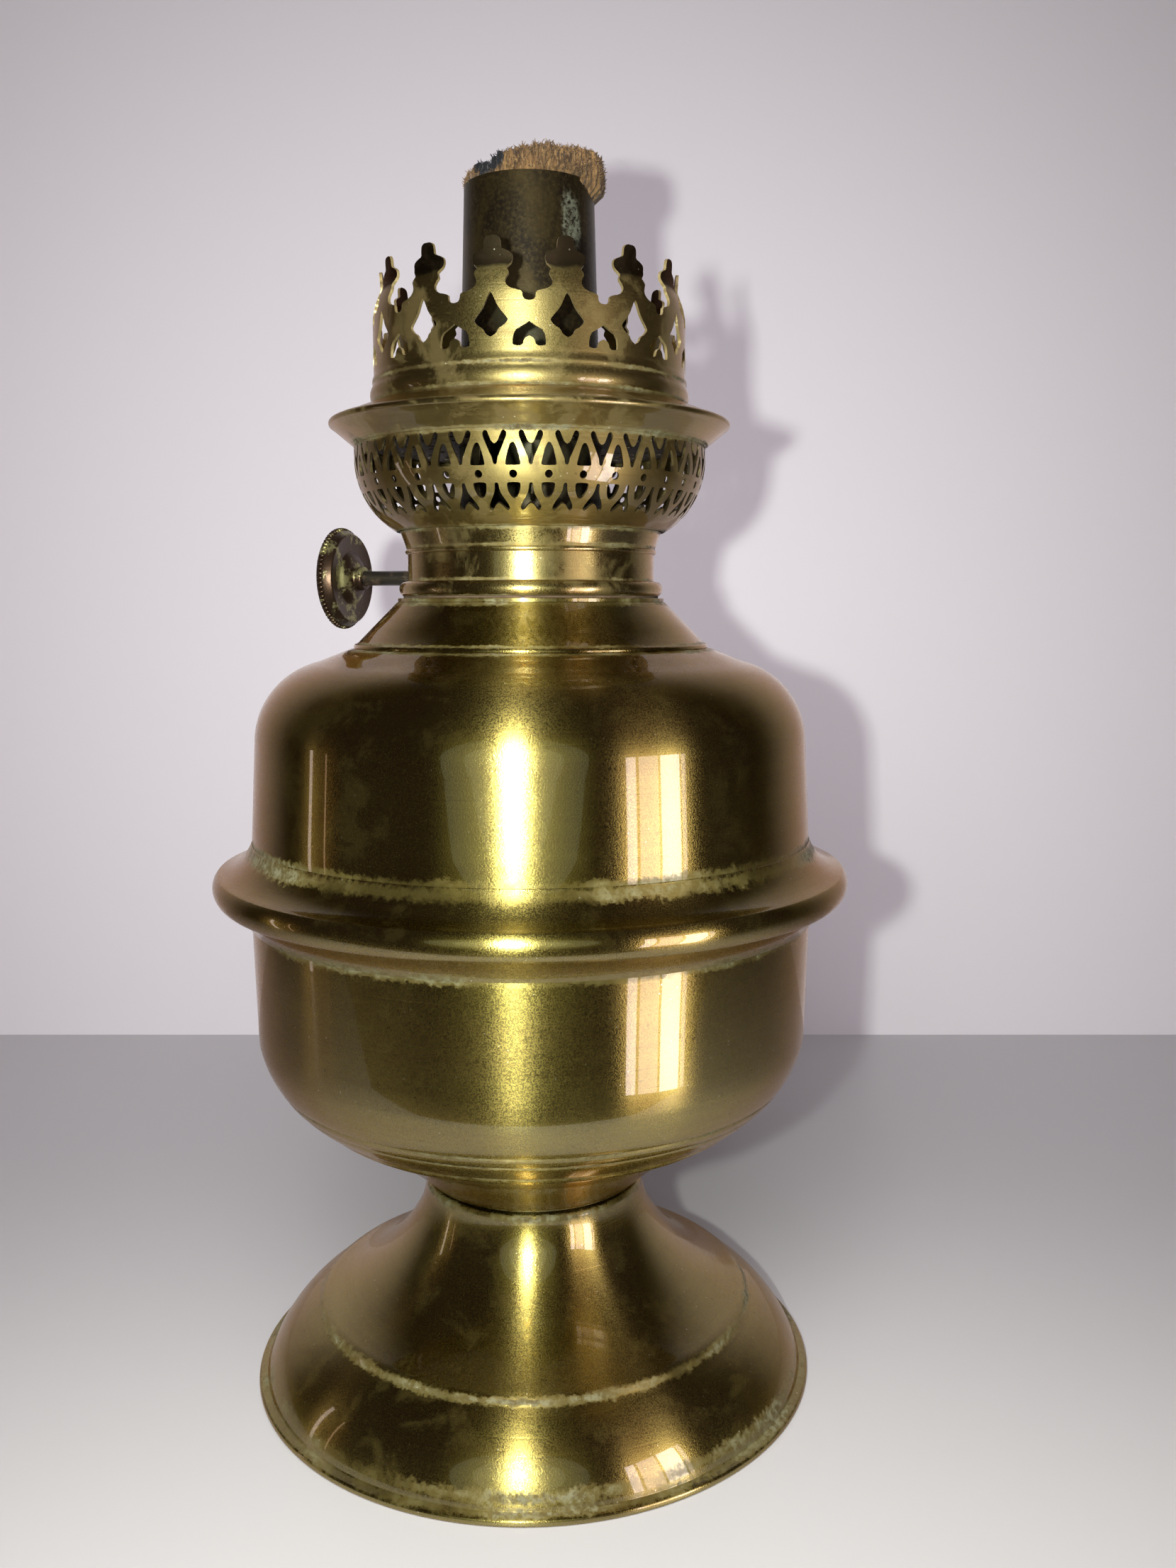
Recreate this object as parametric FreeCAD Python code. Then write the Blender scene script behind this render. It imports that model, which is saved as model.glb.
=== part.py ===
import FreeCAD, Part
import math
import os

# Table oil lamp with a round-wick burner of the side-draught kind, in millimetres.
# Origin: centre of the foot's resting circle. +Z is up, and the wick winder's knob is on -X.

# ---- driving dimensions ----------------------------------------------------------------
FOOT_R = 52.5
FOOT_TOP = 36.4
SHEET = 0.6
TANK_R = 51.0
BAND_R = 57.7
BAND_LOW = 88.0
BAND_TOP = 102.2
SHOULDER_Z = 136.4
COLLAR_Z = 144.5
COLLAR_BORE_R = 18.9
WASHER_Z = 145.2
WASHER_T = 0.4
THREAD_R = 18.84

NECK_Z = WASHER_Z + WASHER_T
NECK_R = 22.16
NECK_BORE_R = 21.6
BASKET_Z = 156.9
RIM_Z = 171.6
CROWN_Z = 178.6
CROWN_R = 27.5
CROWN_TOP = 201.7
CROWN_SHEET = 0.5
PETALS = 14
VALLEY_DEG = -69.8
COLUMNS = 34
COLUMN_DEG = -74.8

TUBE_TOP = 216.0
TUBE_TOP_R = 11.35
TUBE_TAPER = 0.0288
TUBE_SHEET = 0.45
TUBE_FOOT_Z = 143.0
DRAFT_TOP_R = 7.9
DRAFT_SHEET = 0.4
DRAFT_TOP = 215.2
DRAFT_FLOOR_Z = 156.1
DUCT_HALF = 5.0
DUCT_Z = (158.6, 174.0, 181.5)
DUCT_SHEET = 0.4

WICK_TOP = 220.3
WICK_UP = 3.0
WICK_DOWN = 8.0
WICK_GAP = 0.2
WICK_TAILS_Z = (62.0, 126.0)

SHAFT_Y = 15.5
SHAFT_Z = 149.3
SHAFT_R = 1.45
RUN_GAP = 0.05
KNOB_X = -45.7
KNOB_R = 10.2
KNOB_FACE_R = 8.9
WHEEL_R = 2.8
WHEEL_ROOT_R = 2.1
WHEEL_TEETH = 12
WHEEL_X = 1.5
WHEEL_W = 1.1

UP = FreeCAD.Vector(0, 0, 1)
ALONG_X = FreeCAD.Vector(1, 0, 0)
NO_SHIFT = FreeCAD.Vector(0, 0, 0)


# ---- shared shape helpers --------------------------------------------------------------
def at(r, z):
    """A point of a turned outline: radius and height."""
    return FreeCAD.Vector(r, 0, z)


def outline(steps):
    """A closed wire. Each step is (r, z) for a straight edge or (r, z, mid_r, mid_z) for an arc."""
    edges = []
    here = at(*steps[0][:2])
    for step in list(steps[1:]) + [steps[0][:2]]:
        there = at(step[0], step[1])
        if len(step) == 4:
            edges.append(Part.Arc(here, at(step[2], step[3]), there).toShape())
        elif there.distanceToPoint(here) > 1e-6:
            edges.append(Part.LineSegment(here, there).toShape())
        here = there
    return Part.Wire(edges)


def turned(steps):
    """A solid of revolution about the lamp's axis."""
    return Part.Face(outline(steps)).revolve(NO_SHIFT, UP, 360)


def disc(r, z0, z1, hole=0.0):
    """A flat disc or a straight tube on the lamp's axis."""
    body = Part.makeCylinder(r, z1 - z0, FreeCAD.Vector(0, 0, z0))
    if hole > 0:
        body = body.cut(Part.makeCylinder(hole, z1 - z0 + 2, FreeCAD.Vector(0, 0, z0 - 1)))
    return body


def rod_x(r, x0, x1, hole=0.0):
    """A round bar or tube on the winder shaft's axis."""
    body = Part.makeCylinder(r, x1 - x0, FreeCAD.Vector(x0, SHAFT_Y, SHAFT_Z), ALONG_X)
    if hole > 0:
        start = FreeCAD.Vector(x0 - 1, SHAFT_Y, SHAFT_Z)
        body = body.cut(Part.makeCylinder(hole, x1 - x0 + 2, start, ALONG_X))
    return body


def mirrored(half):
    """The points of a symmetric outline from those of its right half, listed from top to bottom."""
    left = [(-s, z) for s, z in reversed(half) if s > 0]
    return list(half) + left


def prism(points, y0, y1, smooth=False):
    """A bar along Y whose section is the outline in X and Z, from y0 to y1."""
    vectors = [FreeCAD.Vector(s, y0, z) for s, z in points]
    if smooth:
        curve = Part.BSplineCurve()
        curve.interpolate(vectors, PeriodicFlag=True)
        wire = Part.Wire([curve.toShape()])
    else:
        wire = Part.makePolygon(vectors + [vectors[0]])
    return Part.Face(wire).extrude(FreeCAD.Vector(0, y1 - y0, 0))


def around(shape, count, first_deg):
    """Copies of a shape that points along -Y, spaced evenly about the lamp's axis."""
    copies = []
    for i in range(count):
        copy = shape.copy()
        copy.rotate(NO_SHIFT, UP, first_deg + 90 + i * 360.0 / count)
        copies.append(copy)
    return copies


def tube_r(top_r, z):
    """Radius at height z of a part of the tapered wick tube."""
    return top_r + TUBE_TAPER * (TUBE_TOP - z)


def cone(top_r, z0, z1):
    """A solid tapered like the wick tube."""
    return Part.makeCone(tube_r(top_r, z0), tube_r(top_r, z1), z1 - z0, FreeCAD.Vector(0, 0, z0))


def house(half, z0, z1, apex):
    """The outline of a window with a pointed head."""
    return mirrored([(0, apex), (half, z1), (half, z0)])


# ---- foot ------------------------------------------------------------------------------
def foot_shell():
    """Spun foot: rolled hem, rounded shoulder, step and hollow flare up to the inturned neck."""
    t = 0.7
    return turned([
        (FOOT_R - 2.2, 0), (FOOT_R - 0.3, 0), (FOOT_R, 0.7, FOOT_R - 0.06, 0.25), (FOOT_R - 0.5, 1.3),
        (50.9, 1.7), (41.3, 13.2, 47.9, 7.2), (40.7, 14.1), (21.4, 31.6, 28.4, 21.6), (20.5, 35.4),
        (19.7, FOOT_TOP, 20.3, 36.2), (14.0, FOOT_TOP), (14.0, FOOT_TOP - t), (19.5, FOOT_TOP - t),
        (20.6, 31.4), (39.9, 13.6, 27.6, 21.3), (40.6, 12.6), (50.0, 1.9, 47.2, 6.9), (FOOT_R - 2.2, 1.0)])


def foot_stud():
    """Headed stud brazed through the tank's floor; it pulls the foot up against the tank."""
    head = disc(5.0, FOOT_TOP + SHEET, FOOT_TOP + SHEET + 1.4)
    return head.fuse(disc(2.4, 22.0, FOOT_TOP + SHEET)).removeSplitter()


def foot_clamp_disc():
    return disc(18.2, FOOT_TOP - 1.5, FOOT_TOP - 0.7, hole=2.6)


def foot_lock_washer():
    return disc(5.2, FOOT_TOP - 2.2, FOOT_TOP - 1.5, hole=2.6)


def foot_nut():
    """Hexagon nut, 8 mm across flats."""
    z1 = FOOT_TOP - 2.2
    corner = 4.0 / math.cos(math.radians(30))
    points = []
    for i in range(7):
        a = math.radians(60 * i)
        points.append(FreeCAD.Vector(corner * math.cos(a), corner * math.sin(a), z1 - 3.6))
    hexagon = Part.Face(Part.makePolygon(points)).extrude(FreeCAD.Vector(0, 0, 3.6))
    return hexagon.cut(disc(2.4, z1 - 5, z1 + 1))


# ---- oil tank --------------------------------------------------------------------------
def tank_lower_shell():
    """Flared underside with a turned step, round belly and straight wall that ends in the band."""
    r = TANK_R
    return turned([
        (2.4, FOOT_TOP), (18.6, FOOT_TOP), (20.6, 37.5), (39.6, 51.0, 28.2, 44.2), (40.6, 51.9),
        (41.9, 52.9), (50.5, 66.0, 47.9, 59.0), (r, 86.0), (r, 91.2), (r - SHEET, 91.2),
        (r - SHEET, 86.0), (50.5 - SHEET, 66.0), (41.6, 53.5, 47.4, 59.4), (40.0, 52.4), (39.3, 51.6),
        (20.2, 38.1, 27.8, 44.6), (18.4, FOOT_TOP + SHEET), (2.4, FOOT_TOP + SHEET)])


def tank_band():
    """Hollow half-round moulding that joins the two halves of the tank."""
    return turned([
        (TANK_R, BAND_LOW), (51.5, BAND_LOW), (56.4, 92.2, 53.4, 90.3), (56.8, 96.9, BAND_R, 94.4),
        (50.75, BAND_TOP, 52.6, 99.1), (50.6, BAND_TOP), (50.6, 101.0), (55.9, 96.6, 52.4, 98.6),
        (55.7, 92.9, 56.8, 94.5), (TANK_R, 90.0, 53.1, 91.1)])


def tank_upper_shell():
    """Straight wall from the band, round shoulder and flat seat for the shoulder cone."""
    return turned([
        (50.0, 97.8), (50.6, 97.8), (50.6, 103.4), (49.6, 121.4), (38.2, 134.0, 46.2, 129.2),
        (33.2, 136.0), (31.9, SHOULDER_Z), (28.2, SHOULDER_Z), (28.2, SHOULDER_Z - SHEET),
        (31.8, SHOULDER_Z - SHEET), (33.0, 135.4), (38.0, 133.4), (49.0, 121.3, 45.7, 128.8),
        (50.0, 103.2)])


def shoulder_cone():
    """Cone between the tank and the burner collar, with a rolled lower edge."""
    return turned([
        (30.7, SHOULDER_Z), (31.9, SHOULDER_Z), (31.5, 137.2, 31.95, 136.9), (24.2, COLLAR_Z),
        (23.2, COLLAR_Z), (23.4, 144.2), (30.3, 137.2)])


def thread_collar():
    """Collar that takes the burner: flange on the cone and a bore that holds the thread."""
    return turned([
        (COLLAR_BORE_R, 136.9), (19.6, 136.9), (19.6, COLLAR_Z), (24.0, COLLAR_Z),
        (24.0, WASHER_Z), (COLLAR_BORE_R, WASHER_Z)])


def burner_washer():
    return disc(23.0, WASHER_Z, NECK_Z, hole=19.2)


# ---- burner body -----------------------------------------------------------------------
def thread_ring():
    return disc(THREAD_R, 137.6, NECK_Z + 0.1, hole=18.2)


def base_plate():
    """Floor of the burner; it carries the thread ring and the wick tube."""
    return disc(NECK_BORE_R, NECK_Z + 0.1, NECK_Z + 0.7, hole=13.45)


def neck_band():
    """Neck with a round bead on the collar, a plain band, a fine roll and a flared top."""
    neck = turned([
        (NECK_BORE_R, NECK_Z), (23.1, NECK_Z), (23.1, 148.0, 23.75, 146.8), (NECK_R, 148.2),
        (NECK_R, 152.9), (22.3, 153.8, 22.62, 153.35), (22.6, 154.6), (23.4, BASKET_Z),
        (22.8, BASKET_Z), (NECK_BORE_R, 153.9)])
    return neck.cut(rod_x(SHAFT_R + 0.1, -30, -5))


def shaft_bush():
    """Bearing tube inside the neck, cut to the neck's round wall."""
    return rod_x(2.2, -21, -9.5, hole=SHAFT_R + RUN_GAP).common(disc(NECK_BORE_R, 140, 160))


def winder_bracket():
    """Sheet bracket with two ears that carry the inner end of the winder shaft."""
    z0 = NECK_Z + 0.7
    block = Part.makeBox(13.8, 6.2, 5.6, FreeCAD.Vector(-6.9, 12.9, z0))
    room = Part.makeBox(12.4, 5.6, 7.0, FreeCAD.Vector(-6.2, 12.8, z0 - 1))
    return block.cut(room).cut(rod_x(SHAFT_R + RUN_GAP, -10, 10))


def air_basket():
    """Pierced bowl that lets air in below the flame: interlaced pointed ovals over a row of dots."""
    bowl = turned([
        (22.9, BASKET_Z), (24.0, BASKET_Z), (31.2, 169.4, 29.0, 161.7), (31.2, RIM_Z),
        (30.75, RIM_Z), (30.75, 169.4), (23.8, 157.35, 28.55, 161.9)])
    dot = Part.makeCylinder(0.62, 14, FreeCAD.Vector(0, -22, 164.5), FreeCAD.Vector(0, -1, 0))
    arch = prism(mirrored([(0, 169.3), (0.35, 169.1), (0.8, 167.8), (1.15, 165.9)]), -34, -24)
    drop = prism(mirrored([(1.05, 163.25), (0.85, 162.0), (0.3, 161.05), (0, 160.95)]), -34, -22)
    crotch = prism(mirrored([
        (0, 169.2), (0.55, 169.5), (1.05, 170.9), (1.45, 171.15), (1.9, 170.8), (1.8, 170.1),
        (0.95, 168.2), (0.35, 166.3), (0.15, 166.0)]), -34, -24)
    fork = prism(mirrored([
        (0, 163.25), (0.3, 163.1), (0.45, 161.9), (1.6, 159.8), (1.5, 159.4), (1.1, 159.35),
        (0.4, 160.2), (0, 160.3)]), -34, -22)
    half_pitch = 180.0 / COLUMNS
    cutters = []
    for shape in (dot, arch, drop):
        cutters += around(shape, COLUMNS, COLUMN_DEG)
    for shape in (crotch, fork):
        cutters += around(shape, COLUMNS, COLUMN_DEG + half_pitch)
    return bowl.cut(cutters)


def gallery_rim():
    """Flared rim with a rolled edge that a shade ring can stand on."""
    return turned([
        (30.75, RIM_Z), (31.3, RIM_Z), (35.1, 174.8, 32.9, 173.0), (35.0, 175.9, 35.5, 175.4),
        (29.7, 177.9), (28.3, CROWN_Z), (26.9, CROWN_Z), (26.9, 178.1), (29.4, 177.3),
        (34.3, 175.2), (31.0, 172.4)])


def air_sieve():
    """Pierced plate across the burner below the chimney."""
    plate = disc(30.75, RIM_Z + 0.2, RIM_Z + 0.7, hole=12.75)
    holes = []
    for r, count in ((17.5, 24), (21.5, 30), (25.5, 36)):
        for i in range(count):
            a = 2 * math.pi * i / count
            spot = FreeCAD.Vector(r * math.cos(a), r * math.sin(a), RIM_Z - 1)
            holes.append(Part.makeCylinder(0.9, 4, spot))
    return plate.cut(holes)


def chimney_ledge():
    """Ring inside the crown: a flat seat for the glass chimney, and a gutter beside the wall."""
    return turned([
        (21.4, 180.2), (24.6, 180.2), (26.0, 179.4), (26.9, 179.4), (26.9, CROWN_Z),
        (25.8, CROWN_Z), (24.4, 179.5), (21.4, 179.5)])


def petal_outline():
    """Half outline of one leaf of the crown from its tip down to the valley beside it."""
    return [
        (0, CROWN_TOP), (1.05, 201.3), (1.4, 200.4), (1.4, 199.75), (2.7, 199.45), (3.45, 198.4),
        (3.1, 197.5), (2.5, 197.1), (2.75, 196.5), (2.45, 195.6), (2.6, 194.5), (3.4, 193.5),
        (4.6, 193.05), (5.15, 192.85), (5.2, 192.2), (5.6, 191.7), (6.2, 191.5)]


def crown():
    """Springy leaved crown that grips the chimney, pierced between and inside the leaves."""
    t = CROWN_SHEET
    wall = turned([
        (27.0, CROWN_Z), (27.6, CROWN_Z), (27.6, 181.9, 28.2, 180.2), (27.45, 183.4, 27.8, 182.7),
        (CROWN_R, 184.0), (CROWN_R, 192.0), (26.0, 198.0, 27.1, 195.2), (26.3, CROWN_TOP + 0.1),
        (26.3 - t, CROWN_TOP + 0.1), (26.0 - t, 198.0), (CROWN_R - t, 192.0, 27.1 - t, 195.2),
        (27.0, 184.0)])
    half_pitch = 180.0 / PETALS
    leaf = prism(mirrored(petal_outline() + [(6.2, 190.0)]), -32, -20)
    leaves = around(leaf, PETALS, VALLEY_DEG + half_pitch)
    keep = disc(40, CROWN_Z - 1, 191.0).fuse(leaves)
    lozenge = prism(mirrored([
        (0, 192.9), (0.55, 191.6), (1.3, 190.3), (2.8, 189.2), (2.8, 188.8), (1.5, 187.9),
        (1.1, 187.1), (0.5, 186.6)]), -32, -20)
    arch = prism(mirrored([
        (0, 188.3), (1.2, 187.6), (2.4, 187.0), (2.65, 185.0), (2.3, 184.6), (1.2, 184.6),
        (1.1, 185.4), (0.5, 185.9)]), -32, -20)
    holes = around(lozenge, PETALS, VALLEY_DEG + half_pitch) + around(arch, PETALS, VALLEY_DEG)
    return wall.common(keep).cut(holes)


# ---- wick tube and draught -------------------------------------------------------------
def duct_block(grow=0.0):
    """The side air entry as a solid bar through both tubes."""
    z0, z1, apex = DUCT_Z
    return prism(house(DUCT_HALF + grow, z0 - grow, z1, apex + grow), -16, -3)


def wick_tube():
    """Tapered outer tube, open for the side air entry and for the two toothed wheels."""
    bore = cone(TUBE_TOP_R - TUBE_SHEET, TUBE_FOOT_Z - 1, TUBE_TOP + 1)
    tube = cone(TUBE_TOP_R, TUBE_FOOT_Z, TUBE_TOP).cut(bore).cut(duct_block())
    for side in (-1, 1):
        corner = FreeCAD.Vector(side * WHEEL_X - 0.95, 10, SHAFT_Z - 2.4)
        tube = tube.cut(Part.makeBox(1.9, 5, 4.8, corner))
    return tube


def draft_tube():
    """Inner tube that feeds air to the middle of the flame; its lower end is closed."""
    bore = cone(DRAFT_TOP_R - DRAFT_SHEET, DRAFT_FLOOR_Z + DRAFT_SHEET, TUBE_TOP + 1)
    return cone(DRAFT_TOP_R, DRAFT_FLOOR_Z, DRAFT_TOP).cut(bore).cut(duct_block())


def air_duct():
    """Sheet lining of the side air entry, soldered between the two tubes."""
    z0, z1, apex = DUCT_Z
    inside = prism(house(DUCT_HALF - DUCT_SHEET, z0 + DUCT_SHEET, z1, apex - DUCT_SHEET), -20, -1)
    between = cone(TUBE_TOP_R, 150, 190).cut(cone(DRAFT_TOP_R - DRAFT_SHEET, 149, 191))
    return duct_block().cut(inside).common(between)


def wick():
    """Flat cotton wick curled into a ring, notched round the air entry, with two tails in the oil."""
    outer = TUBE_TOP_R - TUBE_SHEET - WICK_UP * TUBE_TAPER - WICK_GAP
    inner = DRAFT_TOP_R + WICK_DOWN * TUBE_TAPER + WICK_GAP
    low, split = WICK_TAILS_Z
    ring = cone(outer, low, WICK_TOP).cut(cone(inner, low - 1, WICK_TOP + 1))
    z0, z1, apex = DUCT_Z
    notch = prism(house(DUCT_HALF + 0.7, z0 - WICK_UP - 0.8, z1 + WICK_DOWN + 0.5,
                        apex + WICK_DOWN + 1.5), -20, -1)
    seam = Part.makeBox(0.4, 20, 200, FreeCAD.Vector(-0.2, -20.5, 50))
    between_tails = Part.makeBox(13, 60, split - low + 1, FreeCAD.Vector(-6.5, -30, low - 1))
    return ring.cut([notch, seam, between_tails])


# ---- wick winder -----------------------------------------------------------------------
def winder_shaft():
    return rod_x(SHAFT_R, KNOB_X - 2.5, 8.6)


def winder_knob():
    """Disc with a gripping edge, a raised face towards the lamp and a domed hub."""
    profile = [
        (SHAFT_R, -2.2), (2.6, -2.1), (3.2, -1.1), (8.2, -0.9), (9.0, -1.6), (9.6, -1.6),
        (KNOB_R, -1.2), (KNOB_R, -0.2), (9.6, 0.3), (KNOB_FACE_R, 1.3), (8.4, 1.5), (5.4, 1.4),
        (4.6, 2.1), (3.0, 2.7), (2.4, 3.4), (2.3, 4.2), (SHAFT_R, 4.4)]
    points = [FreeCAD.Vector(KNOB_X + dx, SHAFT_Y + r, SHAFT_Z) for r, dx in profile]
    face = Part.Face(Part.makePolygon(points + [points[0]]))
    return face.revolve(FreeCAD.Vector(0, SHAFT_Y, SHAFT_Z), ALONG_X, 360)


def toothed_wheel(x):
    points = []
    for i in range(WHEEL_TEETH):
        for part, r in ((0.0, WHEEL_ROOT_R), (0.3, WHEEL_R), (0.55, WHEEL_R), (0.8, WHEEL_ROOT_R)):
            a = 2 * math.pi * (i + part) / WHEEL_TEETH
            points.append(FreeCAD.Vector(x - WHEEL_W / 2, SHAFT_Y + r * math.cos(a), SHAFT_Z + r * math.sin(a)))
    wheel = Part.Face(Part.makePolygon(points + [points[0]])).extrude(ALONG_X * WHEEL_W)
    return wheel.cut(rod_x(SHAFT_R, -10, 10))


def wick_wheels():
    return Part.makeCompound([toothed_wheel(-WHEEL_X), toothed_wheel(WHEEL_X)])


def wheel_spacer():
    """Sleeves that keep the toothed wheels in place between the bracket's ears."""
    edge = WHEEL_X + WHEEL_W / 2
    sleeves = []
    for x0, x1 in ((-6.0, -edge), (-WHEEL_X + WHEEL_W / 2, WHEEL_X - WHEEL_W / 2), (edge, 6.0)):
        sleeves.append(rod_x(2.0, x0, x1, hole=SHAFT_R))
    return Part.makeCompound(sleeves)


# ---- all the pieces --------------------------------------------------------------------
PIECES = [
    foot_shell, foot_stud, foot_clamp_disc, foot_lock_washer, foot_nut,
    tank_lower_shell, tank_band, tank_upper_shell, shoulder_cone, thread_collar,
    burner_washer,
    thread_ring, base_plate, neck_band, shaft_bush, winder_bracket, air_basket, gallery_rim,
    air_sieve, chimney_ledge, crown, wick_tube, draft_tube, air_duct,
    wick,
    winder_shaft, winder_knob, wick_wheels, wheel_spacer,
]

os.makedirs("parts", exist_ok=True)
for make in PIECES:
    shape = make()
    shape.exportStep("parts/" + make.__name__ + ".step")
    solids = len(shape.Solids)
    print(make.__name__, "solids", solids, "valid", shape.isValid(), "volume", round(shape.Volume, 1))
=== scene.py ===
import math
import random

import bmesh
import bpy
from mathutils import Matrix, Vector, noise
from mathutils.geometry import delaunay_2d_cdt


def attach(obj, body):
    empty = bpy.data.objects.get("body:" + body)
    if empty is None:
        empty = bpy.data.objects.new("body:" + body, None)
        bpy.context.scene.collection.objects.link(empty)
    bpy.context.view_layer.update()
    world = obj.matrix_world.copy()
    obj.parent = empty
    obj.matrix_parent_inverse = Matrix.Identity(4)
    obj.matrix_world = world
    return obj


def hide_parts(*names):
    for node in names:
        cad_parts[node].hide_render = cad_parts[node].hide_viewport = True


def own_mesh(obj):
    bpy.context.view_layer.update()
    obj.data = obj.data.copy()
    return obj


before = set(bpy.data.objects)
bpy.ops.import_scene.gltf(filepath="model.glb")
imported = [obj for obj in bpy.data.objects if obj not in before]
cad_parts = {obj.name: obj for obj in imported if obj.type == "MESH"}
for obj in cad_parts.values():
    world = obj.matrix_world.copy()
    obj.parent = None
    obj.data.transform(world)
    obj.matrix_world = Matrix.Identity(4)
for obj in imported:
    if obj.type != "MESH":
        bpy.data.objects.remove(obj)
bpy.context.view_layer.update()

MM = 0.001

# Driving sizes, in millimetres. The lamp's axis is Z, and the winder's knob is on -X.
PETALS = 14
FIRST_VALLEY = -69.8
COLUMNS = 34
FIRST_COLUMN = -74.8
CROWN_SHEET = 0.5
BASKET_SHEET = 0.45
WICK_OUT_R = 10.6
WICK_IN_R = 8.4
WICK_HEAD_FOOT = 205.0            # height from which the frayed head is a mesh of its own
FRAY_SLICES = 16
SHAFT_Y = 15.5
SHAFT_Z = 149.3
SHAFT_R = 1.45
KNOB_X = -45.7
THREAD_PITCH = 2.5
VIEW_TURN_DEG = 18                # the camera stands this far round from -Y
VIEW_TURN = math.radians(VIEW_TURN_DEG)
FLOOR_SPLIT = -115                # in front of this line metal doesn't mirror the floor
WALL_AWAY = 193
FLASH = (-19, -262, 148)


# ---- camera, light and stage -----------------------------------------------------------
def from_view(x, y, z):
    """A place given as seen from the camera's side: x to the right, y away, z up, in millimetres."""
    return Matrix.Rotation(VIEW_TURN, 4, "Z") @ (Vector((x, y, z)) * MM)


def set_camera():
    data = bpy.data.cameras.new("camera")
    data.sensor_width = 36.0
    data.lens = 30.92
    data.clip_start = 0.01
    camera = bpy.data.objects.new("camera", data)
    bpy.context.scene.collection.objects.link(camera)
    camera.location = from_view(10.3, -247.0, 144.1)
    camera.rotation_euler = (math.radians(90 - 7.59), 0, VIEW_TURN)
    bpy.context.scene.camera = camera
    bpy.context.scene.view_settings.view_transform = "Standard"


def soft_light(name, place, target, size, watts, colour, seen, spread=180, shape="RECTANGLE"):
    """An area light. seen is "shine" if only metal and gloss show it, or "fill" if they don't."""
    data = bpy.data.lights.new(name, "AREA")
    data.shape = shape
    data.size = size[0] * MM
    data.size_y = size[1] * MM
    data.energy = watts
    data.color = colour
    data.spread = math.radians(spread)
    light = bpy.data.objects.new(name, data)
    bpy.context.scene.collection.objects.link(light)
    light.location = from_view(*place)
    towards = from_view(*target) - light.location
    light.rotation_euler = towards.to_track_quat("-Z", "Y").to_euler()
    light.visible_camera = False
    light.visible_diffuse = seen != "shine"
    light.visible_glossy = seen != "fill"


def set_lights():
    aim, flash = (0, 0, 135), (8, 8)
    soft_light("key", FLASH, aim, flash, 0.50, (0.95, 1.0, 0.94), "fill", spread=128)
    soft_light("key_shine", FLASH, aim, flash, 0.40, (0.94, 1.0, 0.95), "shine", spread=112)
    for number, (across, watts) in enumerate(((90, 0.012), (170, 0.036), (270, 0.075))):
        soft_light(f"glow_{number + 1}", (FLASH[0], -270 - number, FLASH[2]), (0, 0, 118),
                   (across, across * 0.8), watts, (0.96, 1.0, 0.66), "shine", shape="ELLIPSE")
    for number, (aside, width, watts, colour) in enumerate((
            (-52, 20, 0.10, (1.0, 0.84, 0.84)), (-16, 40, 0.13, (1.0, 0.80, 0.78)),
            (30, 42, 0.25, (1.0, 0.90, 0.92)), (60, 10, 0.03, (1.0, 0.80, 0.74)))):
        x, y, z = 0.677 * aside, 0.736 * aside, 51
        soft_light(f"window_{number + 1}", (223 + x, -205 + y, z), (x, y, z), (width, 192), watts, colour,
                   "shine")
    soft_light("left_strip", (-330, -12, 66), (0, 0, 66), (10, 130), 0.013, (1.0, 0.80, 0.70), "shine")
    soft_light("left_strip_two", (-326, -60, 70), (0, 0, 70), (4, 120), 0.004, (1.0, 0.62, 0.35), "shine")
    soft_light("front_fill", (0, -160, 300), (0, -105, 0), (360, 60), 0.22, (1.0, 0.98, 0.92), "fill",
               spread=60)
    soft_light("room_fill", (-60, -420, 520), (0, 150, 110), (500, 300), 0.62, (0.98, 0.93, 1.0),
               "fill", spread=64)


def set_world():
    """Pale to the camera; to everything else a dim room."""
    world = bpy.data.worlds.new("room")
    bpy.context.scene.world = world
    world.use_nodes = True
    tree = world.node_tree
    tree.nodes.clear()
    seen = make(tree, "ShaderNodeLightPath")
    shade = make(tree, "ShaderNodeMix", {0: seen.outputs["Is Camera Ray"], 6: (0.042, 0.030, 0.022, 1),
                                         7: (0.62, 0.58, 0.64, 1)}, data_type="RGBA")
    back = make(tree, "ShaderNodeBackground", {"Color": shade.outputs[2], "Strength": 1.0})
    make(tree, "ShaderNodeOutputWorld", {"Surface": back.outputs[0]})


def stage_plane(name, material, left, near, right, far, top=0):
    """A plane of the stage: flat if top is 0, or else upright at near."""
    if top:
        corners = [(left, near, 0), (right, near, 0), (right, near, top), (left, near, top)]
    else:
        corners = [(left, near, 0), (right, near, 0), (right, far, 0), (left, far, 0)]
    mesh = bpy.data.meshes.new(name)
    mesh.from_pydata([from_view(*c) for c in corners], [], [(0, 1, 2, 3)])
    plane = bpy.data.objects.new(name, mesh)
    bpy.context.scene.collection.objects.link(plane)
    mesh.materials.append(material)
    return plane


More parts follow.
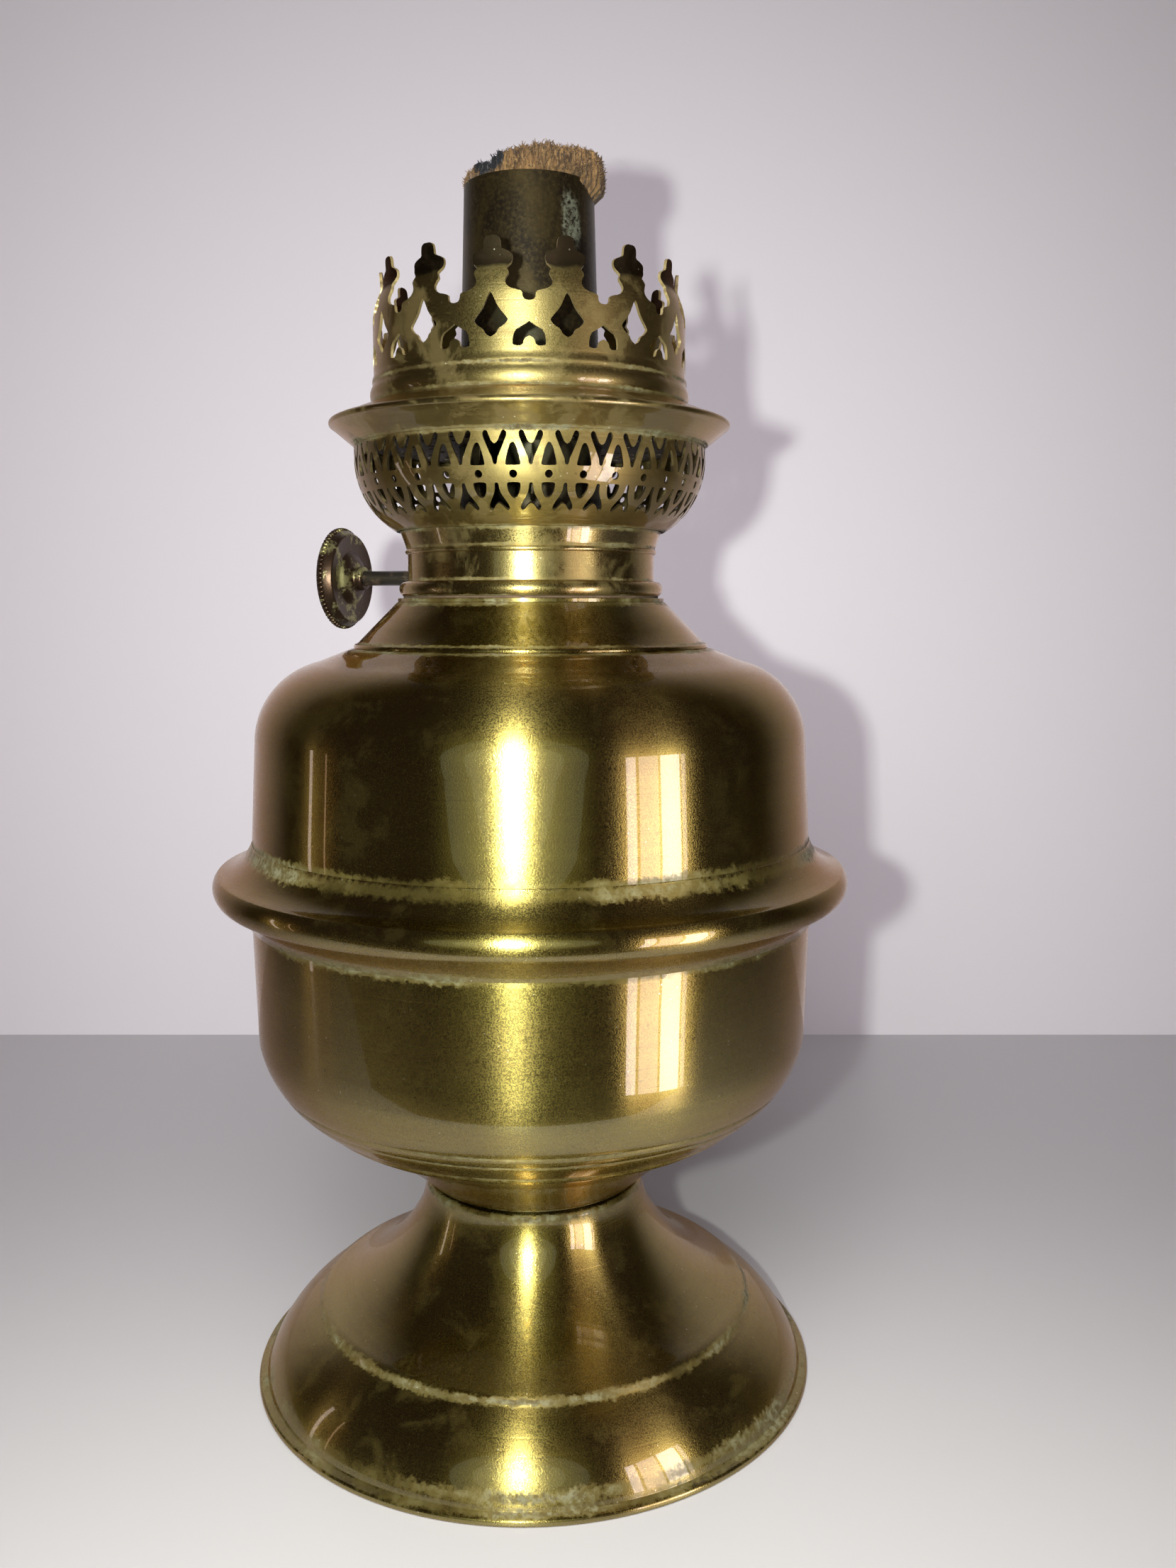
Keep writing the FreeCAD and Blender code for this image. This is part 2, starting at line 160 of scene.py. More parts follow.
def set_stage():
    floor = plain_material("table_top", (0.45, 0.44, 0.445), 0.3, specular=0.3)
    stage_plane("floor", floor, -3000, FLOOR_SPLIT, 3000, 3000)
    front = stage_plane("floor_front", floor, -3000, -3000, 3000, FLOOR_SPLIT)
    front.visible_glossy = False
    wall = plain_material("wall_paint", (0.705, 0.67, 0.70), 0.6, specular=0.2)
    tree = wall.node_tree
    shader = tree.nodes["Principled BSDF"]
    behind = make(tree, "ShaderNodeNewGeometry")
    clear = make(tree, "ShaderNodeBsdfTransparent")
    mix = make(tree, "ShaderNodeMixShader", {0: behind.outputs["Backfacing"], 1: shader.outputs[0],
                                             2: clear.outputs[0]})
    tree.links.new(mix.outputs[0], tree.nodes["Material Output"].inputs["Surface"])
    stage_plane("wall", wall, -1500, WALL_AWAY, 1500, WALL_AWAY, top=1200)


# ---- node helpers ----------------------------------------------------------------------
def feed(tree, node, inputs):
    """Gives each named input of a node a value, or a socket to link from."""
    for key, value in inputs.items():
        if isinstance(value, bpy.types.NodeSocket):
            tree.links.new(value, node.inputs[key])
        else:
            node.inputs[key].default_value = value
    return node


def make(tree, kind, inputs=None, **settings):
    """Adds a node with the given settings and inputs."""
    made = tree.nodes.new(kind)
    for key, value in settings.items():
        setattr(made, key, value)
    return feed(tree, made, inputs or {})


def new_group(name, inputs, outputs):
    """An empty shader node group. Each socket is (name, type, default)."""
    tree = bpy.data.node_groups.new(name, "ShaderNodeTree")
    for label, kind, default in inputs:
        socket = tree.interface.new_socket(label, in_out="INPUT", socket_type="NodeSocket" + kind)
        if default is not None:
            socket.default_value = default
    for label, kind in outputs:
        tree.interface.new_socket(label, in_out="OUTPUT", socket_type="NodeSocket" + kind)
    return tree, tree.nodes.new("NodeGroupInput"), tree.nodes.new("NodeGroupOutput")


def maths(tree, operation, a, b=0.0, clamp=False):
    return make(tree, "ShaderNodeMath", {0: a, 1: b}, operation=operation, use_clamp=clamp).outputs[0]


def times(tree, a, b, clamp=False):
    return maths(tree, "MULTIPLY", a, b, clamp)


def plus(tree, a, b, clamp=False):
    return maths(tree, "ADD", a, b, clamp)


def minus(tree, a, b, clamp=False):
    return maths(tree, "SUBTRACT", a, b, clamp)


def object_place(tree):
    return make(tree, "ShaderNodeTexCoord").outputs["Object"]


def height_mm(tree, position):
    return times(tree, make(tree, "ShaderNodeSeparateXYZ", {0: position}).outputs[2], 1000.0)


def ramped(tree, value, low, high, start=0.0, end=1.0):
    """A smooth step of value from low to high."""
    step = make(tree, "ShaderNodeMapRange", {0: value, 1: low, 2: high, 3: start, 4: end},
                interpolation_type="SMOOTHSTEP")
    return step.outputs[0]


def mixed(tree, factor, a, b):
    return make(tree, "ShaderNodeMix", {0: factor, 6: a, 7: b}, data_type="RGBA").outputs[2]


def grain(tree, vector, scale, detail=3.0, roughness=0.55, w=None, distortion=0.0):
    texture = make(tree, "ShaderNodeTexNoise", {"Vector": vector, "Scale": scale, "Detail": detail,
                                                "Roughness": roughness, "Distortion": distortion})
    if w is not None:
        texture.noise_dimensions = "4D"
        tree.links.new(w, texture.inputs["W"])
    return texture.outputs["Fac"]


def axis_place(tree, position):
    """Radius and height in millimetres, and the two halves of the direction round the axis."""
    split = make(tree, "ShaderNodeSeparateXYZ", {0: position})
    x, y, z = split.outputs
    square = plus(tree, times(tree, x, x), times(tree, y, y))
    radius = maths(tree, "SQRT", square)
    safe = maths(tree, "MAXIMUM", radius, 0.0005)
    return (times(tree, radius, 1000.0), times(tree, z, 1000.0),
            maths(tree, "DIVIDE", x, safe), maths(tree, "DIVIDE", y, safe))


def turned_lines_group():
    """Fine lines left round the axis by the spinning lathe."""
    tree, source, sink = new_group("turned_lines", [("Position", "Vector", None), ("Fineness", "Float", 6.0)],
                                   [("Lines", "Float"), ("Bands", "Float")])
    r, z, cx, cy = axis_place(tree, source.outputs["Position"])
    fine = source.outputs["Fineness"]
    vector = make(tree, "ShaderNodeCombineXYZ", {0: times(tree, r, fine),
                                                 1: times(tree, z, fine),
                                                 2: times(tree, cx, 2.5)})
    lines = grain(tree, vector.outputs[0], 1.0, 3.0, 0.6, w=times(tree, cy, 2.5))
    wide = make(tree, "ShaderNodeCombineXYZ", {0: times(tree, r, 0.55),
                                               1: times(tree, z, 0.55), 2: cx})
    bands = grain(tree, wide.outputs[0], 1.0, 2.0, 0.5, w=cy)
    tree.links.new(lines, sink.inputs["Lines"])
    tree.links.new(bands, sink.inputs["Bands"])
    return tree


def crevice_group():
    """Where dirt and verdigris lie along a circle of the lamp: 1 on the circle, 0 away from it."""
    tree, source, sink = new_group(
        "crevice", [("Position", "Vector", None), ("Radius", "Float", 50.0), ("Height", "Float", 0.0),
                    ("Width", "Float", 1.0)], [("Mask", "Float")])
    r, z, cx, cy = axis_place(tree, source.outputs["Position"])
    dr = minus(tree, r, source.outputs["Radius"])
    dz = minus(tree, z, source.outputs["Height"])
    away = maths(tree, "SQRT", plus(tree, times(tree, dr, dr),
                                     times(tree, dz, dz)))
    near = minus(tree, 1.0, maths(tree, "DIVIDE", away, source.outputs["Width"]))
    coarse = grain(tree, source.outputs["Position"], 160.0, 4.0, 0.6)
    fine = grain(tree, source.outputs["Position"], 1100.0, 4.0, 0.65)
    broken = plus(tree, times(tree, coarse, 1.2), times(tree, fine, 1.4))
    level = plus(tree, near, minus(tree, broken, 1.3))
    along = make(tree, "ShaderNodeCombineXYZ", {0: cx, 1: cy, 2: times(tree, z, 0.02)})
    thick = ramped(tree, grain(tree, along.outputs[0], 2.6, 4.0), 0.38, 0.62, 0.12, 1.0)
    tree.links.new(times(tree, ramped(tree, level, 0.3, 0.9), thick), sink.inputs["Mask"])
    return tree


def wear_group():
    """Blotchy tarnish, small dark pits, long hair scratches, flecks of dust, a fine speckle, and grime in
    patches."""
    tree, source, sink = new_group("wear", [("Position", "Vector", None)],
                                   [("Tarnish", "Float"), ("Pits", "Float"), ("Scratches", "Float"),
                                    ("Dust", "Float"), ("Speckle", "Float"), ("Grime", "Float")])
    position = source.outputs["Position"]
    tree.links.new(ramped(tree, grain(tree, position, 4200.0, 2.0, 0.6), 0.32, 0.7), sink.inputs["Speckle"])
    patches = grain(tree, position, 110.0, 5.0, 0.68, distortion=0.5)
    tree.links.new(ramped(tree, patches, 0.5, 0.64), sink.inputs["Grime"])
    blotch = grain(tree, position, 26.0, 3.0, 0.5, distortion=0.4)
    tree.links.new(ramped(tree, blotch, 0.3, 0.75), sink.inputs["Tarnish"])
    spots = make(tree, "ShaderNodeTexVoronoi", {"Vector": position, "Scale": 420.0})
    size = ramped(tree, grain(tree, position, 120.0, 2.0), 0.4, 0.75, 0.03, 0.2)
    pit = maths(tree, "LESS_THAN", spots.outputs["Distance"], size)
    tree.links.new(pit, sink.inputs["Pits"])
    hairs = None
    for turn, stretch in ((0.5, (30.0, 30.0, 1500.0)), (-0.9, (25.0, 25.0, 1300.0)),
                          (1.9, (20.0, 20.0, 1100.0))):
        turned = make(tree, "ShaderNodeMapping", {"Vector": position, "Rotation": (turn, turn * 0.6, 0.3),
                                                  "Scale": stretch})
        line = ramped(tree, grain(tree, turned.outputs[0], 1.0, 1.0, 0.3), 0.72, 0.78)
        hairs = line if hairs is None else maths(tree, "MAXIMUM", hairs, line)
    tree.links.new(hairs, sink.inputs["Scratches"])
    flecks = make(tree, "ShaderNodeTexVoronoi", {"Vector": position, "Scale": 700.0})
    fleck = maths(tree, "LESS_THAN", flecks.outputs["Distance"], 0.09)
    sparse = ramped(tree, grain(tree, position, 260.0, 1.0), 0.5, 0.62)
    tree.links.new(times(tree, fleck, sparse), sink.inputs["Dust"])
    return tree


LINES = turned_lines_group()
CREVICE = crevice_group()
WEAR = wear_group()


def use_group(tree, group, inputs):
    placed = tree.nodes.new("ShaderNodeGroup")
    placed.node_tree = group
    return feed(tree, placed, inputs).outputs


# ---- materials -------------------------------------------------------------------------
def new_material(name):
    material = bpy.data.materials.new(name)
    material.use_nodes = True
    return material, material.node_tree, material.node_tree.nodes["Principled BSDF"]


def plain_material(name, colour, roughness, specular):
    material, tree, shader = new_material(name)
    feed(tree, shader, {"Base Color": (*colour, 1), "Roughness": roughness, "Specular IOR Level": specular})
    return material


YELLOW_BRASS = (0.27, 0.225, 0.062, 1)
BROWN_BRASS = (0.18, 0.108, 0.042, 1)
VERDIGRIS = (0.19, 0.195, 0.13, 1)
DIRT = (0.055, 0.045, 0.022, 1)
GRIME = (0.115, 0.080, 0.040, 1)
DUST = (0.8, 0.78, 0.62, 1)
PALE_BRASS = (0.36, 0.30, 0.12, 1)
BURNT_BRASS = (0.011, 0.006, 0.006, 1)


def round_axis(tree, position):
    """The direction of the lathe's cut: round the axis."""
    split = make(tree, "ShaderNodeSeparateXYZ", {0: position})
    across = make(tree, "ShaderNodeCombineXYZ", {0: times(tree, split.outputs[1], -1.0),
                                                 1: split.outputs[0]})
    return make(tree, "ShaderNodeVectorTransform", {0: across.outputs[0]}, vector_type="VECTOR",
                convert_from="OBJECT", convert_to="WORLD").outputs[0]


def brass(name, rings, tarnish, tone=YELLOW_BRASS, roughness=0.155, lines=0.3, sheen_turn=0.95,
          grime=0.03, burnt=None):
    """Old turned brass. rings are circles with dirt and verdigris on them: radius, height, width.

    sheen_turn is how far the shine is drawn out across the turning lines, and burnt is a pair of heights
    between which the metal goes from bright to burnt.
    """
    material, tree, shader = new_material(name)
    position = object_place(tree)
    turned = use_group(tree, LINES, {"Position": position, "Fineness": 5.0})
    wear = use_group(tree, WEAR, {"Position": position})
    blotch = times(tree, wear["Tarnish"], tarnish * 0.7)
    banded = plus(tree, blotch, times(tree, minus(tree, turned["Bands"], 0.5), 0.5),
                   clamp=True)
    colour = mixed(tree, banded, tone, BROWN_BRASS)
    streak = times(tree, ramped(tree, turned["Lines"], 0.52, 0.7), 0.28)
    colour = mixed(tree, streak, colour, BROWN_BRASS)
    colour = mixed(tree, times(tree, wear["Pits"], 0.25), colour, DIRT)
    grimy = times(tree, wear["Grime"], grime)
    colour = mixed(tree, grimy, colour, GRIME)
    rough = plus(tree, roughness, times(tree, wear["Tarnish"], 0.05))
    rough = plus(tree, rough, times(tree, turned["Lines"], 0.05))
    rough = plus(tree, rough, times(tree, wear["Speckle"], 0.12))
    rough = plus(tree, rough, times(tree, grimy, 0.14))
    metal = minus(tree, 1.0, times(tree, grimy, 0.75))
    if burnt:
        low, high = burnt
        height = height_mm(tree, position)
        wobble = times(tree, grain(tree, position, 260.0, 3.0), 2.4)
        burn = ramped(tree, plus(tree, height, wobble), low + 1.2, high + 1.2)
        colour = mixed(tree, times(tree, burn, 0.93), colour, BURNT_BRASS)
        rough = plus(tree, rough, times(tree, burn, 0.22))
    green = None
    for radius, height, width in rings:
        circle = {"Position": position, "Radius": radius, "Height": height, "Width": width}
        mask = use_group(tree, CREVICE, circle)["Mask"]
        green = mask if green is None else maths(tree, "MAXIMUM", green, mask)
    if green is not None:
        patchy = ramped(tree, grain(tree, position, 750.0, 5.0, 0.7), 0.4, 0.6)
        crust = mixed(tree, patchy, DIRT, VERDIGRIS)
        colour = mixed(tree, times(tree, green, 0.8), colour, crust)
        rough = plus(tree, rough, times(tree, green, 0.45), clamp=True)
        metal = times(tree, metal, minus(tree, 1.0, times(tree, green, 0.8)))
    dusty = times(tree, wear["Dust"], 0.5)
    colour = mixed(tree, dusty, colour, DUST)
    height = minus(tree, times(tree, turned["Lines"], lines),
                   times(tree, wear["Scratches"], 0.5))
    height = plus(tree, height, times(tree, wear["Speckle"], 0.24))
    if green is not None:
        height = plus(tree, height, times(tree, green, 0.3))
    bump = make(tree, "ShaderNodeBump", {"Height": height, "Strength": 0.35, "Distance": 0.00006})
    feed(tree, shader, {
        "Tangent": round_axis(tree, position), "Base Color": colour, "Roughness": rough, "Metallic": metal,
        "Normal": bump.outputs[0], "Anisotropic": sheen_turn, "Anisotropic Rotation": 0.25,
        "Specular Tint": (0.75, 0.48, 0.33, 1), "Coat Roughness": 0.035, "Coat IOR": 1.9,
        "Coat Tint": (1.0, 0.95, 0.84, 1)})
    shine = minus(tree, 0.62, times(tree, wear["Tarnish"], 0.2))
    shine = times(tree, shine, minus(tree, 1.0, times(tree, grimy, 0.85)))
    if green is not None:
        shine = times(tree, shine, minus(tree, 1.0, green))
    if burnt:
        shine = times(tree, shine, minus(tree, 1.0, times(tree, burn, 0.9)))
    tree.links.new(shine, shader.inputs["Coat Weight"])
    return material


def patched_metal(name, dark, light, patch_scale=180.0, low=0.5, high=0.66, rough_dark=0.42,
                  rough_light=0.6, metallic=0.75):
    """Metal with lighter patches, oxidised on most pieces; on the crown's cut edges its colours are painted
    highlight, and on the basket's cut edges and the parts inside the burner painted shade.
    """
    material, tree, shader = new_material(name)
    position = object_place(tree)
    broad = grain(tree, position, patch_scale, 5.0, 0.62, distortion=0.4)
    fine = grain(tree, position, patch_scale * 9, 4.0, 0.6)
    patch = ramped(tree, plus(tree, broad, times(tree, minus(tree, fine, 0.5), 0.25)),
                   low, high)
    colour = mixed(tree, patch, dark, light)
    mottle = times(tree, minus(tree, fine, 0.35), 0.7, clamp=True)
    colour = mixed(tree, mottle, colour, tuple(c * 0.45 for c in dark[:3]) + (1,))
    bump = make(tree, "ShaderNodeBump", {"Height": plus(tree, fine, patch), "Strength": 0.3,
                                         "Distance": 0.00012})
    rough = ramped(tree, patch, 0.0, 1.0, rough_dark, rough_light)
    feed(tree, shader, {"Base Color": colour, "Roughness": rough, "Normal": bump.outputs[0],
                        "Metallic": metallic})
    return material


def cotton_material(name):
    """Tan cotton, darker in clumps and paler in fibres at random, with one charred patch."""
    material, tree, shader = new_material(name)
    position = object_place(tree)
    thread = make(tree, "ShaderNodeMapping", {"Vector": position, "Scale": (1.0, 1.0, 0.35)}).outputs[0]
    fibre = grain(tree, thread, 2200.0, 4.0, 0.65)
    clump = grain(tree, thread, 520.0, 3.0, 0.6)
    colour = mixed(tree, ramped(tree, clump, 0.35, 0.65), (0.040, 0.020, 0.007, 1),
                   (0.155, 0.083, 0.028, 1))
    colour = mixed(tree, ramped(tree, fibre, 0.42, 0.68), colour, (0.27, 0.160, 0.062, 1))
    spot = from_view(-7.2, -8.9, 218.6)
    away = make(tree, "ShaderNodeVectorMath", {0: position, 1: tuple(spot)}, operation="DISTANCE")
    ragged = plus(tree, away.outputs["Value"], times(tree, minus(tree, clump, 0.5), 0.006))
    char = ramped(tree, ragged, 0.0042, 0.0030)
    colour = mixed(tree, char, colour, (0.006, 0.006, 0.008, 1))
    bump = make(tree, "ShaderNodeBump", {"Height": fibre, "Strength": 0.6, "Distance": 0.0002})
    feed(tree, shader, {"Base Color": colour, "Normal": bump.outputs[0], "Roughness": 0.92,
                        "Sheen Weight": 0.12})
    return material


# ---- mesh helpers ----------------------------------------------------------------------
def arc(a, m, b, spacing):
    """Points from a to b on the circle through a, m and b, without a itself."""
    ax, ay = a
    bx, by = m
    cx, cy = b
    d = 2 * (ax * (by - cy) + bx * (cy - ay) + cx * (ay - by))
    aa, bb, cc = ax * ax + ay * ay, bx * bx + by * by, cx * cx + cy * cy
    ux = (aa * (by - cy) + bb * (cy - ay) + cc * (ay - by)) / d
    uy = (aa * (cx - bx) + bb * (ax - cx) + cc * (bx - ax)) / d
    radius = math.hypot(ax - ux, ay - uy)
    start = math.atan2(ay - uy, ax - ux)
    middle = math.atan2(by - uy, bx - ux)
    end = math.atan2(cy - uy, cx - ux)
    turn = (end - start) % (2 * math.pi)
    if (middle - start) % (2 * math.pi) > turn:
        turn -= 2 * math.pi
    count = max(3, math.ceil(abs(turn) * radius / spacing), math.ceil(abs(turn) / 0.12))
    return [(ux + radius * math.cos(start + turn * i / count),
             uy + radius * math.sin(start + turn * i / count)) for i in range(1, count + 1)]


def section(steps, closed=True, spacing=1.4):
    """Points along an outline of (r, z) for a straight edge or (r, z, mid_r, mid_z) for an arc."""
    points = [tuple(steps[0][:2])]
    rest = list(steps[1:]) + ([steps[0][:2]] if closed else [])
    for step in rest:
        here, there = points[-1], tuple(step[:2])
        if len(step) == 4:
            points += arc(here, tuple(step[2:]), there, spacing)
            continue
        count = max(1, math.ceil(math.dist(here, there) / (2.5 * spacing)))
        for i in range(1, count + 1):
            points.append(tuple(h + (t - h) * i / count for h, t in zip(here, there)))
    return points[:-1] if closed else points


def finished(mesh, name, body, replaces, smooth=40):
    """Puts a mesh in the scene as a piece that rides a body and stands for CAD nodes."""
    mesh.name = name
    for face in mesh.polygons:
        face.use_smooth = True
    mesh.set_sharp_from_angle(angle=math.radians(smooth))
    piece = bpy.data.objects.new(name, mesh)
    bpy.context.scene.collection.objects.link(piece)
    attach(piece, body)
    if replaces:
        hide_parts(*replaces)
    return piece


def bevelled(piece, width, angle=35, segments=2):
    modifier = piece.modifiers.new("soft_edges", "BEVEL")
    modifier.width = width * MM
    modifier.segments = segments
    modifier.limit_method = "ANGLE"
    modifier.angle_limit = math.radians(angle)


def turned_mesh(points, segments=224, place=None, shape=None):
    """A closed section turned about Z. shape(r, z, angle) may move a point in or out."""
    vertices = []
    for i in range(segments):
        a = 2 * math.pi * i / segments
        for r, z in points:
            rr = shape(r, z, a) if shape else r
            vertices.append(Vector((rr * math.cos(a), rr * math.sin(a), z)) * MM)
    n = len(points)
    faces = []
    for i in range(segments):
        j = (i + 1) % segments
        for k in range(n):
            m = (k + 1) % n
            faces.append((i * n + k, j * n + k, j * n + m, i * n + m))
    mesh = bpy.data.meshes.new("turned")
    mesh.from_pydata(vertices, [], faces)
    if place:
        mesh.transform(place)
    return outward(mesh)


def outward(mesh, merge=0.0):
    work = bmesh.new()
    work.from_mesh(mesh)
    if merge:
        bmesh.ops.remove_doubles(work, verts=work.verts, dist=merge)
    bmesh.ops.recalc_face_normals(work, faces=work.faces)
    work.to_mesh(mesh)
    work.free()
    return mesh


def turned_piece(name, body, steps, material, replaces, width=0.12, segments=224, place=None):
    mesh = turned_mesh(section(steps), segments, place)
    mesh.materials.append(material)
    bevelled(finished(mesh, name, body, replaces), width)


def repeat_tree():
    """Geometry nodes that repeat a piece round the Z axis and weld the copies."""
    tree = bpy.data.node_groups.new("repeat_round_axis", "GeometryNodeTree")
    for label, kind in (("Geometry", "Geometry"), ("Count", "Int"), ("First Angle", "Float"),
                        ("Weld", "Float"), ("Material", "Material")):
        tree.interface.new_socket(label, in_out="INPUT", socket_type="NodeSocket" + kind)
    tree.interface.new_socket("Geometry", in_out="OUTPUT", socket_type="NodeSocketGeometry")
    source = tree.nodes.new("NodeGroupInput")
    sink = tree.nodes.new("NodeGroupOutput")
    line = make(tree, "GeometryNodeMeshLine", {"Count": source.outputs["Count"], "Offset": (0, 0, 0)})
    index = make(tree, "GeometryNodeInputIndex").outputs[0]
    step = maths(tree, "DIVIDE", 2 * math.pi, source.outputs["Count"])
    angle = plus(tree, times(tree, index, step), source.outputs["First Angle"])
    euler = make(tree, "ShaderNodeCombineXYZ", {2: angle})
    turn = make(tree, "FunctionNodeEulerToRotation", {0: euler.outputs[0]})
    copies = make(tree, "GeometryNodeInstanceOnPoints",
                  {"Points": line.outputs[0], "Instance": source.outputs["Geometry"],
                   "Rotation": turn.outputs[0]})
    real = make(tree, "GeometryNodeRealizeInstances", {"Geometry": copies.outputs[0]})
    weld = make(tree, "GeometryNodeMergeByDistance",
                {"Geometry": real.outputs[0], "Distance": source.outputs["Weld"]})
    paint = make(tree, "GeometryNodeSetMaterial",
                 {"Geometry": weld.outputs[0], "Material": source.outputs["Material"]})
    tree.links.new(paint.outputs[0], sink.inputs[0])
    return tree


REPEAT = repeat_tree()


def run_nodes(mesh, tree, values):
    """The plain mesh that a geometry tree makes of a mesh."""
    holder = bpy.data.objects.new("holder", mesh)
    bpy.context.scene.collection.objects.link(holder)
    modifier = holder.modifiers.new("nodes", "NODES")
    modifier.node_group = tree
    for item in tree.interface.items_tree:
        if item.in_out == "INPUT" and item.name in values:
            modifier[item.identifier] = values[item.name]
    graph = bpy.context.evaluated_depsgraph_get()
    made = bpy.data.meshes.new_from_object(holder.evaluated_get(graph))
    holder.modifiers.remove(modifier)
    bpy.data.objects.remove(holder)
    return made


def repeated(mesh, count, first_deg, material, weld=0.02):
    return run_nodes(mesh, REPEAT, {"Count": count, "First Angle": math.radians(first_deg),
                                    "Weld": weld * MM, "Material": material})


def inside(point, polygon):
    x, y = point
    hit = False
    for (ax, ay), (bx, by) in zip(polygon, polygon[1:] + polygon[:1]):
        if (ay > y) != (by > y) and x < (bx - ax) * (y - ay) / (by - ay) + ax:
            hit = not hit
    return hit


def rounded(points, rounds=2):
    """Corners of an open line cut back, with the two ends kept."""
    for _ in range(rounds):
        cut = [points[0]]
        for a, b in zip(points, points[1:]):
            cut.append((0.75 * a[0] + 0.25 * b[0], 0.75 * a[1] + 0.25 * b[1]))
            cut.append((0.25 * a[0] + 0.75 * b[0], 0.25 * a[1] + 0.75 * b[1]))
        cut.append(points[-1])
        points = cut
    return points


def clear_of(point, lines, gap):
    return all(math.dist(point, q) > gap for line in lines for q in line)


def spaced(points, gap):
    """The closed line with extra points where two neighbours are further apart than gap."""
    out = []
    for a, b in zip(points, points[1:] + points[:1]):
        count = max(1, math.ceil(math.dist(a, b) / gap))
        out += [(a[0] + (b[0] - a[0]) * i / count, a[1] + (b[1] - a[1]) * i / count) for i in range(count)]
    return out


def radius_at(profile):
    """Radius as a function of height along an open outline that always rises."""
    def radius(z):
        if z <= profile[0][1]:
            return profile[0][0]
        for (r0, z0), (r1, z1) in zip(profile, profile[1:]):
            if z <= z1:
                return r0 + (r1 - r0) * (z - z0) / max(z1 - z0, 1e-9)
        return profile[-1][0]
    return radius


def pierced_sector(border, holes, flat_radius, radius, rows, gap):
    """One sector of a pierced sheet. Outlines are given as (arc length, height) about -Y."""
    border = spaced(border, gap)
    holes = [spaced(h, gap) for h in holes]
    points, edges = [], []
    for ring in [border] + holes:
        start = len(points)
        points += ring
        edges += [(start + i, start + (i + 1) % len(ring)) for i in range(len(ring))]
    widest = max(s for s, _ in border)
    columns = max(2, round(2 * widest / (1.6 * gap)))
    for z in rows:
        for i in range(1, columns):
            spot = (-widest + 2 * widest * i / columns, z)
            if inside(spot, border) and not any(inside(spot, h) for h in holes):
                if clear_of(spot, [border] + holes, 0.55 * gap):
                    points.append(spot)
    made = delaunay_2d_cdt([Vector(p) for p in points], edges, [], 0, 1e-5)
    flat, triangles = made[0], made[2]
    faces = []
    for face in triangles:
        middle = sum((flat[i] for i in face), Vector((0, 0))) / len(face)
        if inside(middle, border) and not any(inside(middle, h) for h in holes):
            faces.append(tuple(face))
    vertices = []
    for s, z in flat:
        a = s / flat_radius
        r = radius(z)
        vertices.append(Vector((r * math.sin(a), -r * math.cos(a), z)) * MM)
    mesh = bpy.data.meshes.new("sector")
    mesh.from_pydata(vertices, [], faces)
    return mesh


def sheet_piece(name, replaces, sector, count, first_deg, thickness, material, rim, edge):
    """A pierced sheet with thickness. rim is the material of its cut edges, and edge their bevel."""
    mesh = repeated(sector, count, first_deg + 90, material)
    outward(mesh)
    if mean_direction(mesh) < 0:
        mesh.flip_normals()
    mesh.materials.append(rim)
    piece = finished(mesh, name, "burner", replaces, smooth=50)
    work = bmesh.new()
    work.from_mesh(mesh)
    for line in work.edges:
        if line.is_boundary:
            line.smooth = False
    work.to_mesh(mesh)
    work.free()
    solid = piece.modifiers.new("thickness", "SOLIDIFY")
    solid.thickness = thickness * MM
    solid.offset = -1
    solid.material_offset_rim = 1
    if edge:
        bevelled(piece, edge, angle=60)
        piece.modifiers["soft_edges"].material = 1
        piece.modifiers["soft_edges"].harden_normals = True


def mean_direction(mesh):
    """Positive if the faces mostly look away from the axis."""
    total = 0.0
    for face in mesh.polygons:
        c = face.center
        total += (c.x * face.normal.x + c.y * face.normal.y) * face.area
    return total


# ---- foot and tank ---------------------------------------------------------------------
def build_foot():
    steps = [
        (50.3, 0), (52.2, 0), (52.5, 0.7, 52.44, 0.25), (52.0, 1.3, 52.36, 1.1), (50.9, 1.7),
        (50.9, 1.85), (41.3, 13.2, 47.9, 7.2), (40.9, 13.5), (40.7, 14.1), (40.3, 14.45),
        (21.4, 31.6, 28.4, 21.6), (20.5, 35.4), (19.7, 36.4, 20.3, 36.2), (14.0, 36.4), (14.0, 35.7),
        (19.5, 35.7), (20.6, 31.4), (39.9, 13.6, 27.6, 21.3), (40.6, 12.6), (50.0, 1.9, 47.2, 6.9),
        (50.3, 1.0)]
    rings = [(51.4, 1.7, 1.9), (50.0, 3.2, 2.2), (40.8, 13.9, 1.5), (20.4, 35.9, 1.6)]
    material = brass("brass_foot", rings, tarnish=0.6, grime=0.08)
    turned_piece("foot", "lamp", steps, material, replaces=["foot_shell"])


